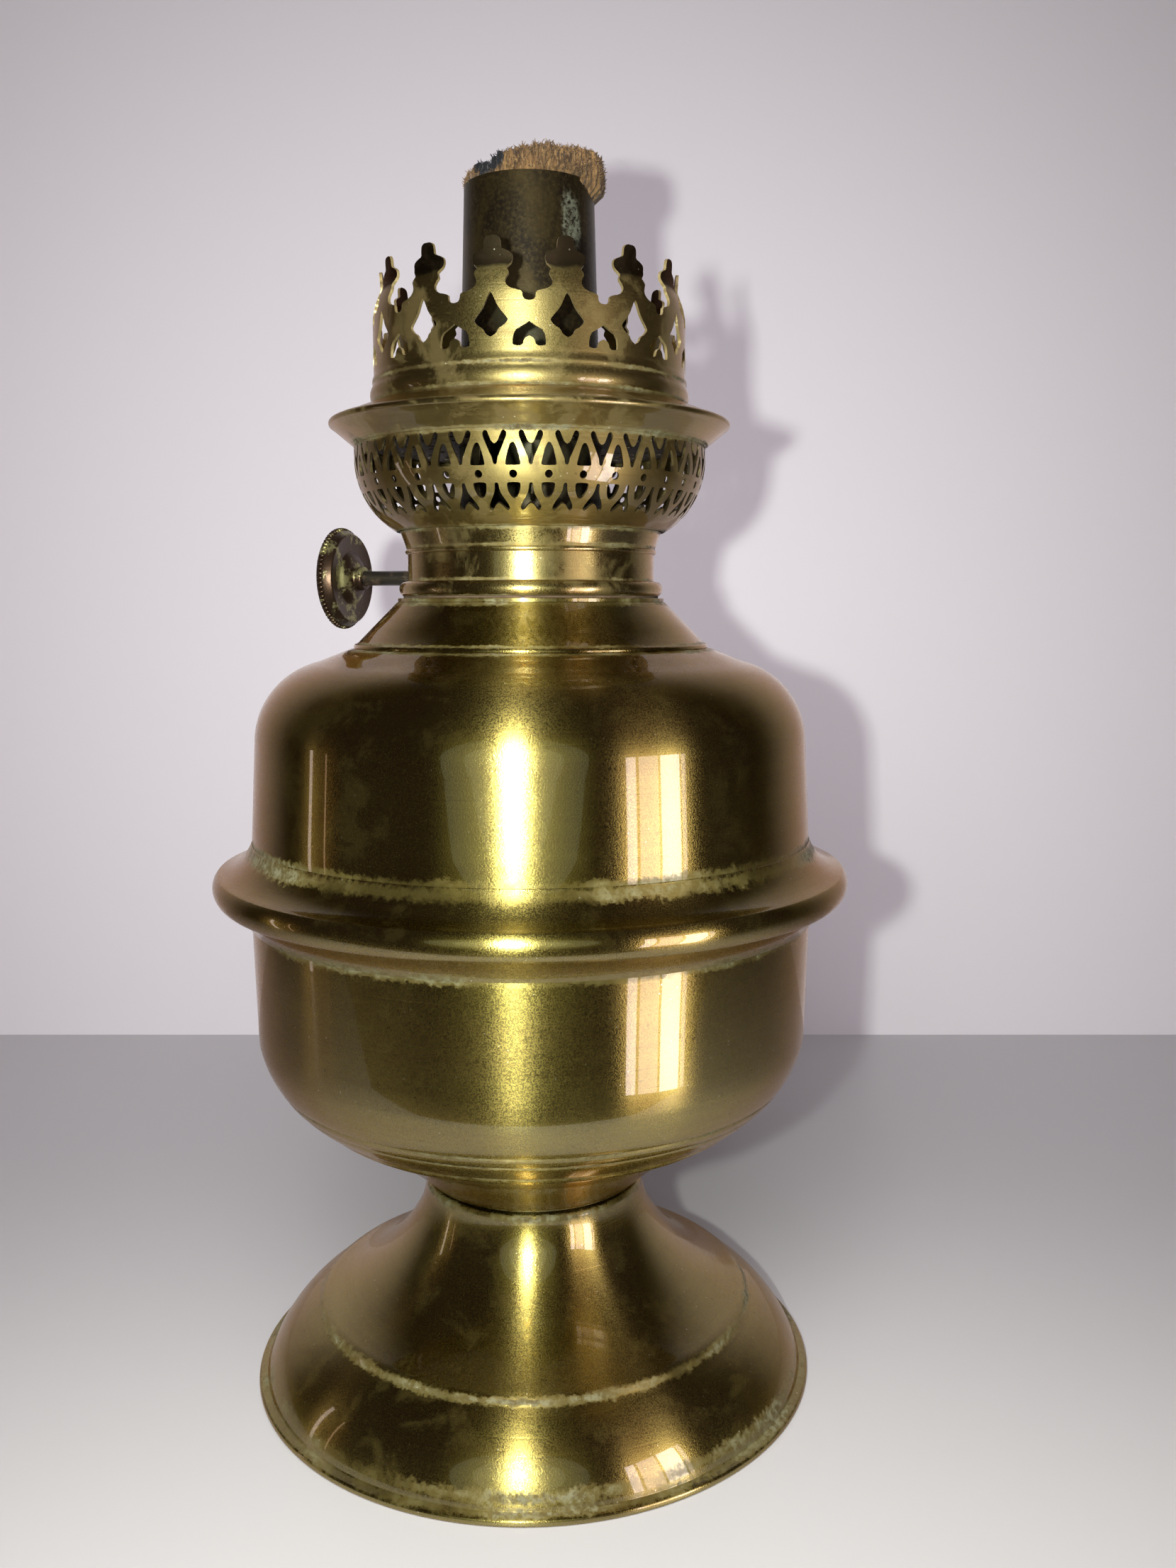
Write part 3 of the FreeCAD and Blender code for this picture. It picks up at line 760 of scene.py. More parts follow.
def build_tank():
    lower = [
        (2.4, 36.4), (18.6, 36.4), (20.6, 37.5), (39.6, 51.0, 28.2, 44.2), (40.4, 51.55), (40.6, 51.9),
        (41.0, 52.5), (41.9, 52.9), (45.55, 56.1, 43.8, 54.35), (45.7, 56.45), (46.05, 56.6),
        (47.15, 58.15, 46.65, 57.35), (47.25, 58.6), (47.6, 58.75), (50.5, 66.0, 49.35, 62.1),
        (51.0, 86.0), (51.0, 91.2), (50.4, 91.2), (50.4, 86.0), (49.9, 66.0), (41.6, 53.5, 47.0, 59.4),
        (40.0, 52.4), (39.3, 51.6), (20.2, 38.1, 27.8, 44.6), (18.4, 37.0), (2.4, 37.0)]
    rings = [(20.5, 37.2, 1.2), (41.2, 52.6, 1.5), (45.75, 56.35, 0.8), (47.3, 58.5, 0.9),
             (51.0, 88.0, 1.6)]
    turned_piece("tank_lower_half", "lamp", lower, brass("brass_lower_tank", rings, tarnish=0.5),
                 replaces=["tank_lower_shell"])
    band = [
        (51.0, 88.0), (51.5, 88.0), (56.4, 92.2, 53.4, 90.3), (56.8, 96.9, 57.66, 94.4),
        (50.75, 102.2, 52.6, 99.1), (50.6, 102.2), (50.6, 101.0), (55.9, 96.6, 52.4, 98.6),
        (55.7, 92.9, 56.8, 94.5), (51.0, 90.0, 53.1, 91.1)]
    rings = [(51.3, 88.4, 2.0), (51.2, 101.1, 2.5)]
    turned_piece("tank_band_moulding", "lamp", band, brass("brass_band", rings, tarnish=0.7),
                 replaces=["tank_band"])
    upper = [
        (50.0, 97.8), (50.6, 97.8), (50.6, 103.4), (49.6, 121.4), (38.2, 134.0, 46.2, 129.2),
        (33.2, 136.0), (31.9, 136.4), (28.2, 136.4), (28.2, 135.8), (31.8, 135.8), (33.0, 135.4),
        (38.0, 133.4), (49.0, 121.3, 45.7, 128.8), (50.0, 103.2)]
    rings = [(50.6, 102.2, 1.9), (32.6, 136.2, 1.5)]
    turned_piece("tank_upper_half", "lamp", upper, brass("brass_upper_tank", rings, tarnish=0.5),
                 replaces=["tank_upper_shell"])
    cone = [
        (30.7, 136.4), (31.9, 136.4), (31.5, 137.2, 31.95, 136.9), (31.2, 137.35), (24.2, 144.5),
        (23.2, 144.5), (23.4, 144.2), (30.3, 137.2)]
    rings = [(31.4, 137.4, 0.8), (24.4, 144.3, 1.2)]
    turned_piece("shoulder", "lamp", cone, brass("brass_shoulder", rings, tarnish=0.5),
                 width=0.08, replaces=["shoulder_cone"])


def thread_wave(z, angle, low, high, hand=1):
    """0 in the root of the screw thread and 1 on its crest, dying out at both ends."""
    turn = (z / THREAD_PITCH - hand * angle / (2 * math.pi)) % 1.0
    wave = 0.5 + 0.5 * math.cos(2 * math.pi * turn)
    fade = min(1.0, max(0.0, (z - low) / 1.2), max(0.0, (high - z) / 1.2))
    return wave * max(0.0, fade)


def tall(points, spacing=0.3):
    """Extra points on the upright edges, so that a thread can follow them."""
    out = []
    for a, b in zip(points, points[1:] + points[:1]):
        count = max(1, math.ceil(math.dist(a, b) / spacing)) if abs(a[0] - b[0]) < 0.01 else 1
        out += [(a[0] + (b[0] - a[0]) * i / count, a[1] + (b[1] - a[1]) * i / count) for i in range(count)]
    return out


def build_threads():
    def female(r, z, angle):
        if r > 19.0:
            return r
        return 19.32 - 0.42 * thread_wave(z + THREAD_PITCH / 2, angle, 136.9, 144.9)

    def male(r, z, angle):
        if r < 18.5:
            return r
        return 18.4 + 0.4 * thread_wave(z, angle, 137.6, 145.6)

    collar = tall([(18.9, 136.9), (19.6, 136.9), (19.6, 144.5), (24.0, 144.5), (24.0, 145.2), (18.9, 145.2)])
    mesh = turned_mesh(collar, 192, shape=female)
    mesh.materials.append(brass("brass_collar", [(24.0, 144.8, 0.9)], tarnish=0.6))
    bevelled(finished(mesh, "collar", "lamp", ["thread_collar"]), 0.08)
    ring = tall([(18.2, 137.6), (18.84, 137.6), (18.84, 145.7), (18.2, 145.7)])
    mesh = turned_mesh(ring, 192, shape=male)
    mesh.materials.append(brass("brass_thread", (), tarnish=0.7, roughness=0.3))
    finished(mesh, "burner_thread", "burner", ["thread_ring"])
    washer = [(19.2, 145.2), (23.0, 145.2), (23.0, 145.6), (19.2, 145.6)]
    cork = patched_metal("pressed_cork", (0.09, 0.055, 0.03, 1), (0.16, 0.10, 0.06, 1), metallic=0.0,
                         rough_dark=0.85, rough_light=0.9)
    turned_piece("sealing_washer", "washer", washer, cork, width=0.1,
                 replaces=["burner_washer"])


# ---- burner ----------------------------------------------------------------------------
BASKET_WALL = section([(24.0, 156.9), (31.2, 169.4, 29.0, 161.7), (31.2, 171.6)], closed=False, spacing=0.7)
CROWN_WALL = section([(27.6, 178.6), (27.6, 181.9, 28.2, 180.2), (27.45, 183.4, 27.8, 182.7), (27.5, 184.0),
                      (27.5, 192.0), (26.0, 198.0, 27.1, 195.2), (26.3, 201.8)], closed=False, spacing=0.5)
PETAL = [(0, 201.7), (0.7, 201.7), (1.3, 201.3), (1.45, 200.5), (1.45, 199.75), (2.4, 199.45),
         (3.3, 199.0), (3.5, 198.4), (3.3, 197.6), (2.7, 197.0), (2.45, 196.7), (2.75, 196.3),
         (2.95, 195.8), (2.5, 195.1), (2.3, 194.5), (2.6, 193.8), (3.4, 193.3), (4.6, 193.05),
         (5.1, 192.8), (5.15, 192.0), (5.5, 191.6), (6.171, 191.5)]
LOZENGE = [(0, 192.9), (0.35, 192.5), (0.75, 191.6), (1.26, 190.5), (2.6, 189.0), (2.86, 188.5),
           (2.1, 187.7), (1.26, 187.3), (0.9, 186.5), (0, 186.0)]
VALLEY_ARCH = [(0, 186.1), (0.8, 185.7), (1.1, 184.6), (2.3, 184.6), (2.75, 184.9), (2.4, 186.9),
               (1.1, 187.6), (0, 188.3)]


def both_sides(half):
    """A closed outline from its right half, whose first and last points lie on the middle line."""
    return half + [(-s, z) for s, z in reversed(half[1:-1])]


def from_border(half, edge):
    """A half outline measured inwards from the sector's right border."""
    return [(edge - s, z) for s, z in half]


def build_crown():
    flat = 27.5
    edge = flat * math.pi / PETALS
    right = [(edge, 178.6)] + rounded(from_border(VALLEY_ARCH, edge), 1) + rounded(PETAL[::-1], 1)
    right[-1] = (0, 201.7)
    border = right + [(-s, z) for s, z in reversed(right[:-1])]
    hole = both_sides(rounded(LOZENGE, 1))
    rows = [179.1 + 0.55 * i for i in range(41)]
    sector = pierced_sector(border, [hole], flat, radius_at(CROWN_WALL), rows, 0.42)
    rings = [(27.7, 178.9, 0.7), (27.7, 182.3, 0.6)]
    face = brass("brass_crown", rings, tarnish=0.4, tone=PALE_BRASS, grime=0.3, roughness=0.3, lines=0.25,
                 sheen_turn=0.6, burnt=(196.1, 197.4))
    # The crown's cut edges are coloured paler than its face: painted highlight for the glints the flash puts
    # on the rims.
    rim = patched_metal("crown_edge_painted_highlight", (0.42, 0.32, 0.14, 1), (0.62, 0.50, 0.25, 1), patch_scale=260.0,
                        metallic=0.55, rough_dark=0.4, rough_light=0.35)
    first = FIRST_VALLEY + 180.0 / PETALS
    sheet_piece("leaved_crown", ["crown"], sector, PETALS, first, CROWN_SHEET, face, rim, 0.15)


def build_basket():
    flat = 30.0
    wall = radius_at(BASKET_WALL)

    def wide(points):
        return [(s * flat / wall(z), z) for s, z in points]

    edge = flat * math.pi / COLUMNS
    fork = [(0, 160.2), (0.45, 160.0), (0.95, 159.35), (1.25, 159.1), (1.6, 159.3), (1.65, 159.75),
            (1.2, 160.6), (0.55, 161.6), (0.35, 162.4), (0.33, 162.9), (0.2, 163.2), (0, 163.25)]
    crotch = [(0, 165.95), (0.25, 166.05), (0.35, 166.4), (0.45, 167.0), (0.8, 167.7), (1.35, 169.0),
              (1.85, 170.2), (1.95, 170.8), (1.6, 171.25), (1.15, 171.1), (0.85, 170.3), (0.45, 169.4),
              (0, 169.15)]
    right = [(edge, 156.9)]
    for half in (fork, crotch):
        inner = [(edge - s, z) for s, z in wide(rounded(half, 1))]
        inner[0] = (edge, half[0][1])
        inner[-1] = (edge, half[-1][1])
        right += inner
    right.append((edge, 171.6))
    border = right + [(-s, z) for s, z in reversed(right)]
    arch = [(0, 169.35), (0.3, 169.25), (0.65, 168.5), (1.0, 167.2), (1.22, 166.1), (1.1, 165.88),
            (0.5, 165.85), (0, 165.85)]
    drop = [(0, 163.3), (0.6, 163.28), (1.02, 163.2), (1.1, 162.9), (0.95, 162.0), (0.6, 161.3),
            (0.25, 160.98), (0, 160.95)]
    dot = [(0.62 * math.sin(math.pi * i / 8), 164.55 + 0.62 * math.cos(math.pi * i / 8)) for i in range(9)]
    dot[0], dot[8] = (0, 165.17), (0, 163.93)
    holes = [both_sides(wide(half)) for half in (rounded(arch, 1), rounded(drop, 1), dot)]
    rows = [157.4 + 0.62 * i for i in range(23)]
    sector = pierced_sector(border, holes, flat, wall, rows, 0.36)
    rings = [(24.0, 157.0, 1.0), (31.3, 171.5, 0.8)]
    face = brass("brass_basket", rings, tone=(0.29, 0.235, 0.09, 1), tarnish=0.5, lines=0.25, grime=0.4,
                 roughness=0.36, sheen_turn=0.5)
    # The basket's cut edges are coloured near black: painted shade inside the holes.
    rim = patched_metal("basket_edge_painted_shade", (0.035, 0.024, 0.010, 1), (0.16, 0.12, 0.045, 1),
                        patch_scale=260.0, metallic=0.6, rough_dark=0.5, rough_light=0.5)
    sheet_piece("pierced_basket", ["air_basket"], sector, COLUMNS, FIRST_COLUMN, BASKET_SHEET, face, rim, 0.0)


def build_burner_rings():
    neck = [
        (21.6, 145.6), (23.1, 145.6), (23.1, 148.0, 23.75, 146.8), (22.16, 148.2), (22.16, 152.9),
        (22.3, 153.8, 22.62, 153.35), (22.4, 154.0), (22.6, 154.6), (23.4, 156.9), (22.8, 156.9),
        (21.6, 153.9)]
    rings = [(22.3, 148.3, 0.7), (22.5, 154.0, 0.7), (23.4, 156.8, 0.8), (23.1, 145.6, 0.6)]
    material = brass("brass_neck", rings, tone=PALE_BRASS, tarnish=0.5, grime=0.25, roughness=0.2,
                     sheen_turn=0.8)
    mesh = turned_mesh(section(neck, spacing=0.5), 224)
    mesh.materials.append(material)
    piece = finished(mesh, "neck", "burner", ["neck_band"])
    drill_for_shaft(piece)
    bevelled(piece, 0.06)
    rim = [
        (30.75, 171.6), (31.3, 171.6), (31.45, 171.8), (35.1, 174.8, 32.9, 173.0), (35.0, 175.9, 35.5, 175.4),
        (34.6, 176.1), (34.4, 176.05), (29.7, 177.9), (28.3, 178.6), (26.9, 178.6), (26.9, 178.1),
        (29.4, 177.3), (34.3, 175.2), (31.0, 172.4)]
    rings = [(31.5, 171.8, 0.7), (34.5, 176.1, 0.6), (28.2, 178.6, 0.8)]
    material = brass("brass_gallery", rings, tone=PALE_BRASS, tarnish=0.6, grime=0.55, roughness=0.28,
                     sheen_turn=0.6)
    turned_piece("gallery", "burner", rim, material, ["gallery_rim"], width=0.08)
    ledge = [(21.4, 180.2), (24.6, 180.2), (26.0, 179.4), (26.9, 179.4), (26.9, 178.6), (25.8, 178.6),
             (24.4, 179.5), (21.4, 179.5)]
    # Dark brass for the chimney seat and the parts inside the burner: its dark colour is painted shade.
    painted_shade_brass = patched_metal("brass_inside_painted_shade", (0.045, 0.033, 0.018, 1), (0.12, 0.09, 0.045, 1), metallic=0.6,
                         rough_dark=0.5, rough_light=0.65)
    turned_piece("chimney_seat_ring", "burner", ledge, painted_shade_brass, width=0.08,
                 replaces=["chimney_ledge"])
    return painted_shade_brass


def drill_for_shaft(piece):
    """The round hole that the winder shaft passes through."""
    drill = bpy.data.meshes.new("drill")
    work = bmesh.new()
    bmesh.ops.create_cone(work, cap_ends=True, segments=40, radius1=(SHAFT_R + 0.12) * MM,
                          radius2=(SHAFT_R + 0.12) * MM, depth=12 * MM,
                          matrix=Matrix.Translation(Vector((-20, SHAFT_Y, SHAFT_Z)) * MM)
                          @ Matrix.Rotation(math.radians(90), 4, "Y"))
    work.to_mesh(drill)
    work.free()
    tool = bpy.data.objects.new("drill", drill)
    bpy.context.scene.collection.objects.link(tool)
    cut = piece.modifiers.new("hole", "BOOLEAN")
    cut.operation = "DIFFERENCE"
    cut.solver = "EXACT"
    cut.object = tool
    graph = bpy.context.evaluated_depsgraph_get()
    made = bpy.data.meshes.new_from_object(piece.evaluated_get(graph))
    piece.modifiers.remove(cut)
    piece.data = made
    made.set_sharp_from_angle(angle=math.radians(40))
    bpy.data.objects.remove(tool)


def from_cad(name, node, body, material, bevel=0.0, cut_above=None):
    """A piece with the CAD node's own shape, with its faces joined along their edges."""
    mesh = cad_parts[node].data.copy()
    mesh.materials.clear()
    mesh.materials.append(material)
    outward(mesh, merge=0.002 * MM)
    if cut_above:
        work = bmesh.new()
        work.from_mesh(mesh)
        everything = work.verts[:] + work.edges[:] + work.faces[:]
        bmesh.ops.bisect_plane(work, geom=everything, plane_co=(0, 0, cut_above * MM), plane_no=(0, 0, 1),
                               clear_outer=True)
        bmesh.ops.holes_fill(work, edges=[e for e in work.edges if e.is_boundary])
        work.to_mesh(mesh)
        work.free()
    for face in mesh.polygons:
        face.material_index = 0
    piece = finished(mesh, name, body, [node], smooth=30)
    if bevel:
        bevelled(piece, bevel, angle=40, segments=1)


def tube_material():
    """Dark heated brass with a pale verdigris patch down its right side."""
    spot = from_view(7.6, -9.0, 208.5)
    material, tree, shader = new_material("heated_tube")
    position = object_place(tree)
    stretched = make(tree, "ShaderNodeMapping", {"Vector": position, "Scale": (1.0, 1.0, 0.55)}).outputs[0]
    broad = grain(tree, stretched, 120.0, 5.0, 0.6, distortion=0.5)
    fine = grain(tree, position, 1500.0, 5.0, 0.65)
    colour = mixed(tree, ramped(tree, broad, 0.35, 0.7), (0.018, 0.013, 0.008, 1), (0.062, 0.043, 0.014, 1))
    colour = mixed(tree, ramped(tree, fine, 0.4, 0.75), colour, (0.070, 0.050, 0.019, 1))
    height = height_mm(tree, position)
    low_green = times(tree, ramped(tree, height, 199.0, 190.0), ramped(tree, broad, 0.4, 0.62))
    colour = mixed(tree, times(tree, low_green, 0.5), colour, (0.035, 0.045, 0.03, 1))
    away = make(tree, "ShaderNodeVectorMath", {0: position, 1: tuple(spot)}, operation="SUBTRACT")
    squeezed = make(tree, "ShaderNodeVectorMath", {0: away.outputs[0], 1: (1.9, 1.9, 1.0)},
                    operation="MULTIPLY")
    size = make(tree, "ShaderNodeVectorMath", {0: squeezed.outputs[0]}, operation="LENGTH")
    ragged = plus(tree, size.outputs["Value"], times(tree, minus(tree, broad, 0.5), 0.014))
    patch = times(tree, ramped(tree, ragged, 0.0046, 0.0022), ramped(tree, fine, 0.35, 0.6))
    colour = mixed(tree, times(tree, patch, 0.8), colour, (0.115, 0.125, 0.085, 1))
    bump = make(tree, "ShaderNodeBump", {"Height": plus(tree, fine, patch), "Strength": 0.35,
                                         "Distance": 0.0001})
    feed(tree, shader, {"Base Color": colour, "Roughness": ramped(tree, patch, 0.0, 1.0, 0.42, 0.75),
                        "Metallic": minus(tree, 0.75, times(tree, patch, 0.6)), "Normal": bump.outputs[0]})
    return material


def build_inner_parts(painted_shade_brass):
    steel = patched_metal("aged_steel", (0.10, 0.085, 0.07, 1), (0.24, 0.17, 0.11, 1), metallic=0.85)
    heated = tube_material()
    # The brass parts inside the burner take the dark brass from build_burner_rings, whose colour is painted
    # shade.
    for name, node, slot, body, material, bevel in (
            ("stud", "foot_stud", "winder_steel", "lamp", steel, 0.1),
            ("clamp_disc", "foot_clamp_disc", "winder_steel", "lamp", steel, 0.1),
            ("lock_washer", "foot_lock_washer", "winder_steel", "lamp", steel, 0.08),
            ("nut", "foot_nut", "winder_steel", "lamp", steel, 0.15),
            ("burner_floor", "base_plate", "dull_brass", "burner", painted_shade_brass, 0.06),
            ("bush", "shaft_bush", "dull_brass", "burner", painted_shade_brass, 0.05),
            ("bracket", "winder_bracket", "dull_brass", "burner", painted_shade_brass, 0.08),
            ("sieve", "air_sieve", "dull_brass", "burner", painted_shade_brass, 0.05),
            ("outer_wick_tube", "wick_tube", "heat_brass", "burner", heated, 0.06),
            ("inner_draught_tube", "draft_tube", "heat_brass", "burner", heated, 0.06),
            ("air_passage", "air_duct", "heat_brass", "burner", heated, 0.0),
            ("shaft", "winder_shaft", "winder_steel", "winder", steel, 0.12),
            ("wheels", "wick_wheels", "winder_steel", "winder", steel, 0.06),
            ("sleeves", "wheel_spacer", "dull_brass", "winder", painted_shade_brass, 0.06)):
        from_cad(name, node, body, material, bevel)


def build_knob():
    """Thin brass disc with a milled edge; its raised face and hub look towards the lamp."""
    face = [
        (SHAFT_R, -2.2), (2.6, -2.1), (3.2, -1.1, 3.0, -1.5), (8.2, -0.9), (9.0, -1.55), (9.45, -1.55),
        (9.55, -1.1), (9.55, 0.2), (8.95, 1.25), (8.4, 1.5, 8.75, 1.48), (5.4, 1.35), (4.6, 2.1, 5.1, 1.6),
        (3.0, 2.7), (2.4, 3.4, 2.5, 2.85), (2.3, 4.2), (2.1, 4.4), (SHAFT_R, 4.4)]
    stand = (Matrix.Translation(Vector((KNOB_X, SHAFT_Y, SHAFT_Z)) * MM)
             @ Matrix.Rotation(math.radians(90), 4, "Y"))
    material = patched_metal("knob_brass_dark", (0.075, 0.045, 0.028, 1), (0.46, 0.42, 0.20, 1),
                             patch_scale=230.0, low=0.52, high=0.64, metallic=0.85, rough_dark=0.35,
                             rough_light=0.5)
    turned_piece("knob", "winder", face, material, width=0.12, segments=128, place=stand,
                 replaces=["winder_knob"])
    bead = bpy.data.meshes.new("bead")
    work = bmesh.new()
    bmesh.ops.create_uvsphere(work, u_segments=10, v_segments=8, radius=0.42 * MM)
    bmesh.ops.scale(work, vec=(1.0, 1.0, 1.55), verts=work.verts)
    bmesh.ops.translate(work, vec=(9.72 * MM, 0, -0.62 * MM), verts=work.verts)
    work.to_mesh(bead)
    work.free()
    beads = repeated(bead, 68, 0.0, material, weld=0.0)
    beads.transform(stand)
    outward(beads)
    finished(beads, "knob_milling", "winder", [], smooth=60)


# ---- wick ------------------------------------------------------------------------------
def view_angle(point_deg):
    """Polar angle about the axis, in radians, of a direction given in degrees right of the camera's side."""
    return math.radians(-90 + VIEW_TURN_DEG + point_deg)


HEAD_TOP = [(-180, 219.8), (-120, 218.9), (-85, 218.4), (-50, 218.9), (-38, 218.7), (-25, 219.8),
            (-12, 220.3), (0, 220.8), (15, 220.9), (28, 221.0), (40, 220.9), (55, 221.2), (75, 221.4),
            (100, 221.3), (130, 221.0), (180, 219.8)]
HEAD_OUT = [(-180, 10.9), (-120, 11.0), (-85, 11.2), (-60, 11.0), (-38, 10.9), (0, 11.2), (28, 11.5),
            (50, 12.0), (70, 12.8), (90, 13.1), (110, 12.7), (135, 11.6), (180, 10.9)]
DROOP = [(-180, 216.5), (30, 216.5), (52, 216.2), (68, 215.2), (80, 214.6), (92, 214.9), (110, 215.9),
         (130, 216.5), (180, 216.5)]


def along(table, degrees):
    """A smooth value from a table of (degrees, value) that covers the whole circle."""
    d = (degrees + 180) % 360 - 180
    for (a, u), (b, v) in zip(table, table[1:]):
        if d <= b:
            t = (d - a) / (b - a)
            return u + (v - u) * (3 * t * t - 2 * t * t * t)
    return table[-1][1]


def head_mesh(rng):
    """The wick's woven head: a ring of cords, thick and ragged above the tube."""
    cords, per_cord = 62, 6
    around = cords * per_cord
    rows_out, rows_top, rows_in = 16, 10, 7
    vertices = []
    jitter = [rng.uniform(-0.45, 0.45) for _ in range(cords)]
    push = [rng.uniform(-0.22, 0.28) for _ in range(cords)]
    for i in range(around):
        degrees = 360.0 * i / around
        a = view_angle(degrees)
        cord = i // per_cord
        part = (i % per_cord) / per_cord
        rib = math.sin(math.pi * part) ** 0.6 if part else 0.0
        lift = jitter[cord] * rib
        top = along(HEAD_TOP, degrees) - 0.55 + lift - 0.6 * (1 - rib)
        out = along(HEAD_OUT, degrees) + (push[cord] if rib else 0) * 0.8 - 0.55 * (1 - rib)
        low = along(DROOP, degrees)
        ring = []
        for k in range(4):
            rise = (low + 0.1 - WICK_HEAD_FOOT) * k / 4 if low < 216.2 else 2.8 * k
            ring.append((WICK_OUT_R - 0.25, WICK_HEAD_FOOT + rise))
        for k in range(rows_out):
            t = k / (rows_out - 1)
            bulge = math.sin(math.pi * min(1.0, t * 0.9 + 0.12)) * 0.25
            z = low + (top - 0.7 - low) * t
            r = out + bulge - 0.2
            if z < 216.25:
                r = max(r, 11.62 + 0.2)
            if t == 0 and low >= 216.2:
                r = 11.0
            ring.append((r, z))
        inner = WICK_IN_R - 0.25 + 0.3 * push[cord]
        for k in range(rows_top):
            t = (k + 1) / (rows_top + 1)
            crown_up = math.sin(math.pi * t) ** 0.7
            ring.append((out + (inner - out) * t, top - 0.7 + 0.95 * crown_up - 0.25 * t))
        for k in range(rows_in):
            t = k / (rows_in - 1)
            ring.append((inner + 0.25 * t, top - 0.9 - (top - 0.9 - 209.0) * t))
        ring.append((WICK_IN_R + 0.35, WICK_HEAD_FOOT))
        for j, (r, z) in enumerate(ring):
            spot = Vector((r * math.cos(a), r * math.sin(a), z))
            if z > 214.0:
                spot += noise.noise_vector(spot * 1.1) * 0.22 + noise.noise_vector(spot * 3.1) * 0.14
            vertices.append(spot * MM)
    n = len(ring)
    faces = []
    for i in range(around):
        j = (i + 1) % around
        for k in range(n):
            m = (k + 1) % n
            faces.append((i * n + k, j * n + k, j * n + m, i * n + m))
    mesh = bpy.data.meshes.new("head")
    mesh.from_pydata(vertices, [], faces)
    return outward(mesh)


def tuft_tree():
    """Geometry nodes that scatter short frayed threads over the faces higher than 216.1 mm."""
    tree = bpy.data.node_groups.new("frayed_threads", "GeometryNodeTree")
    for label, kind in (("Geometry", "Geometry"), ("Thread", "Object"), ("Density", "Float"), ("Seed", "Int"),
                        ("Material", "Material")):
        tree.interface.new_socket(label, in_out="INPUT", socket_type="NodeSocket" + kind)
    tree.interface.new_socket("Geometry", in_out="OUTPUT", socket_type="NodeSocketGeometry")
    source = tree.nodes.new("NodeGroupInput")
    sink = tree.nodes.new("NodeGroupOutput")
    position = make(tree, "GeometryNodeInputPosition").outputs[0]
    height = make(tree, "ShaderNodeSeparateXYZ", {0: position}).outputs[2]
    high = maths(tree, "GREATER_THAN", height, 0.2161)
    points = make(tree, "GeometryNodeDistributePointsOnFaces",
                  {"Mesh": source.outputs["Geometry"], "Density": source.outputs["Density"],
                   "Seed": source.outputs["Seed"], "Selection": high})
    thread = make(tree, "GeometryNodeObjectInfo", {"Object": source.outputs["Thread"]})
    lean = make(tree, "FunctionNodeRandomValue", {0: (-0.85, -0.85, 0.0), 1: (0.85, 0.85, 6.28),
                                                  "Seed": source.outputs["Seed"]}, data_type="FLOAT_VECTOR")
    upward = make(tree, "FunctionNodeAlignRotationToVector",
                  {"Rotation": points.outputs["Rotation"], "Vector": (0.0, 0.0, 1.0), "Factor": 0.45},
                  axis="Z")
    leaned = make(tree, "FunctionNodeRotateRotation", {"Rotation": upward.outputs[0]}, rotation_space="LOCAL")
    turned = make(tree, "FunctionNodeEulerToRotation", {0: lean.outputs[0]})
    tree.links.new(turned.outputs[0], leaned.inputs[1])
    size = make(tree, "FunctionNodeRandomValue", {2: 0.45, 3: 1.0, "Seed": 7}, data_type="FLOAT")
    copies = make(tree, "GeometryNodeInstanceOnPoints",
                  {"Points": points.outputs["Points"], "Instance": thread.outputs["Geometry"],
                   "Rotation": leaned.outputs[0], "Scale": size.outputs[1]})
    real = make(tree, "GeometryNodeRealizeInstances", {"Geometry": copies.outputs[0]})
    paint = make(tree, "GeometryNodeSetMaterial",
                 {"Geometry": real.outputs[0], "Material": source.outputs["Material"]})
    both = make(tree, "GeometryNodeJoinGeometry")
    tree.links.new(paint.outputs[0], both.inputs[0])
    tree.links.new(source.outputs["Geometry"], both.inputs[0])
    tree.links.new(both.outputs[0], sink.inputs[0])
    return tree


def thread_mesh():
    """One short bent thread, pointing up from the origin."""
    rings = [(0.075, -0.15, 0.0), (0.085, 0.2, 0.02), (0.07, 0.5, 0.1), (0.02, 0.85, 0.26)]
    vertices = []
    for r, z, shift in rings:
        for i in range(4):
            a = math.pi / 2 * i
            vertices.append(Vector((r * math.cos(a) + shift, r * math.sin(a), z)) * MM)
    faces = [(3, 2, 1, 0), (12, 13, 14, 15)]
    for k in range(3):
        for i in range(4):
            j = (i + 1) % 4
            faces.append((4 * k + i, 4 * k + j, 4 * k + 4 + j, 4 * k + 4 + i))
    mesh = bpy.data.meshes.new("thread")
    mesh.from_pydata(vertices, [], faces)
    return mesh


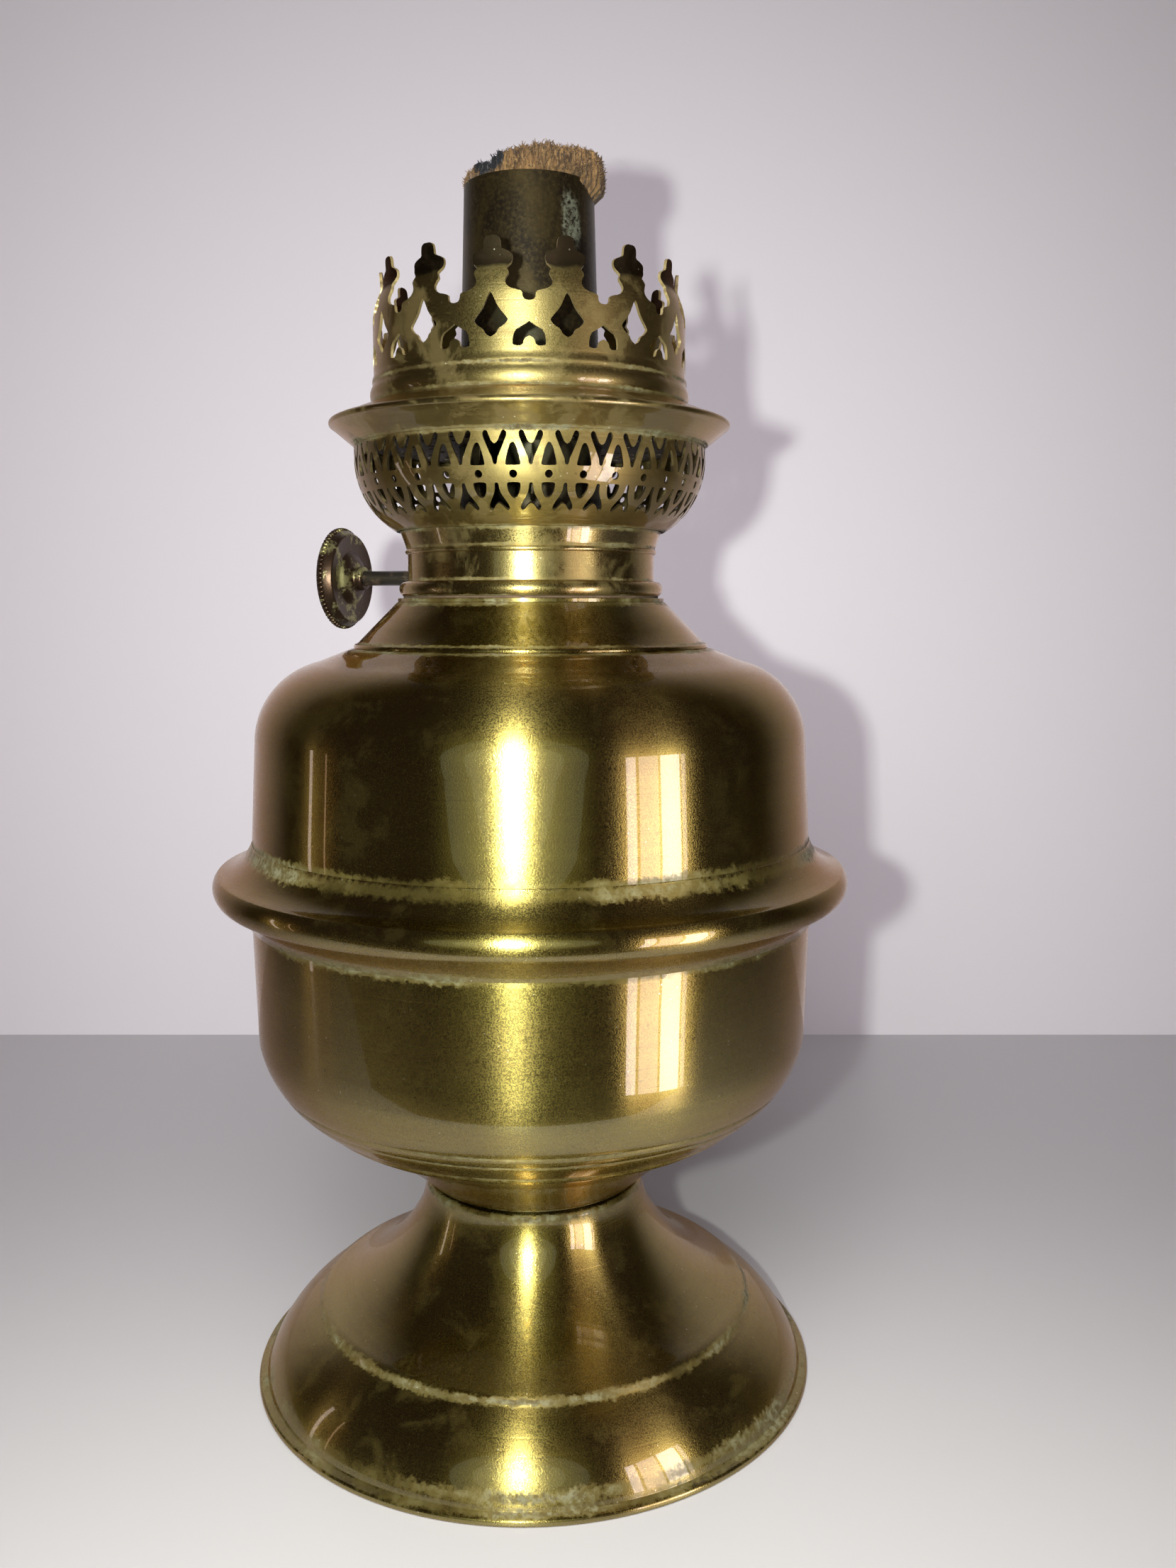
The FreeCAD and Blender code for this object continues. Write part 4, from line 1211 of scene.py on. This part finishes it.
def slices(mesh, count):
    """The mesh in slices round the axis; threads stay whole."""
    work = bmesh.new()
    work.from_mesh(mesh)
    groups = [[] for _ in range(count)]
    seen = set()

    def place(x, y):
        return int((math.atan2(y, x) % (2 * math.pi)) / (2 * math.pi) * count) % count

    for first in work.faces:
        if first in seen:
            continue
        island, waiting = [], [first]
        seen.add(first)
        while waiting:
            face = waiting.pop()
            island.append(face)
            for edge in face.edges:
                for other in edge.link_faces:
                    if other not in seen:
                        seen.add(other)
                        waiting.append(other)
        if len(island) < 100:
            middle = island[0].calc_center_median()
            groups[place(middle.x, middle.y)] += island
        else:
            for face in island:
                middle = face.calc_center_median()
                groups[place(middle.x, middle.y)].append(face)
    made = []
    for group in groups:
        number, points, faces = {}, [], []
        for face in group:
            corners = []
            for vertex in face.verts:
                if vertex.index not in number:
                    number[vertex.index] = len(points)
                    points.append(vertex.co[:])
                corners.append(number[vertex.index])
            faces.append(corners)
        part = bpy.data.meshes.new("slice")
        part.from_pydata(points, [], faces)
        made.append(part)
    work.free()
    return made


def build_wick():
    rng = random.Random(14)
    material = cotton_material("wick_cotton_cloth")
    head = head_mesh(rng)
    head.materials.append(material)
    thread = bpy.data.objects.new("thread", thread_mesh())
    bpy.context.scene.collection.objects.link(thread)
    frayed = run_nodes(head, tuft_tree(), {"Thread": thread, "Density": 4.6e6, "Seed": 3,
                                           "Material": material})
    bpy.data.objects.remove(thread)
    from_cad("wick_cotton", "wick", "wick", material, cut_above=WICK_HEAD_FOOT + 0.2)
    for number, slice_mesh in enumerate(slices(frayed, FRAY_SLICES)):
        slice_mesh.materials.append(material)
        piece = finished(slice_mesh, f"wick_fray_{number + 1:02d}", "wick", [], smooth=180)
        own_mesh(piece)


# ---- the whole lamp --------------------------------------------------------------------
set_world()
set_camera()
set_lights()
set_stage()
build_foot()
build_tank()
build_threads()
dull_brass = build_burner_rings()
build_inner_parts(dull_brass)
build_crown()
build_basket()
build_knob()
build_wick()

bpy.context.view_layer.update()
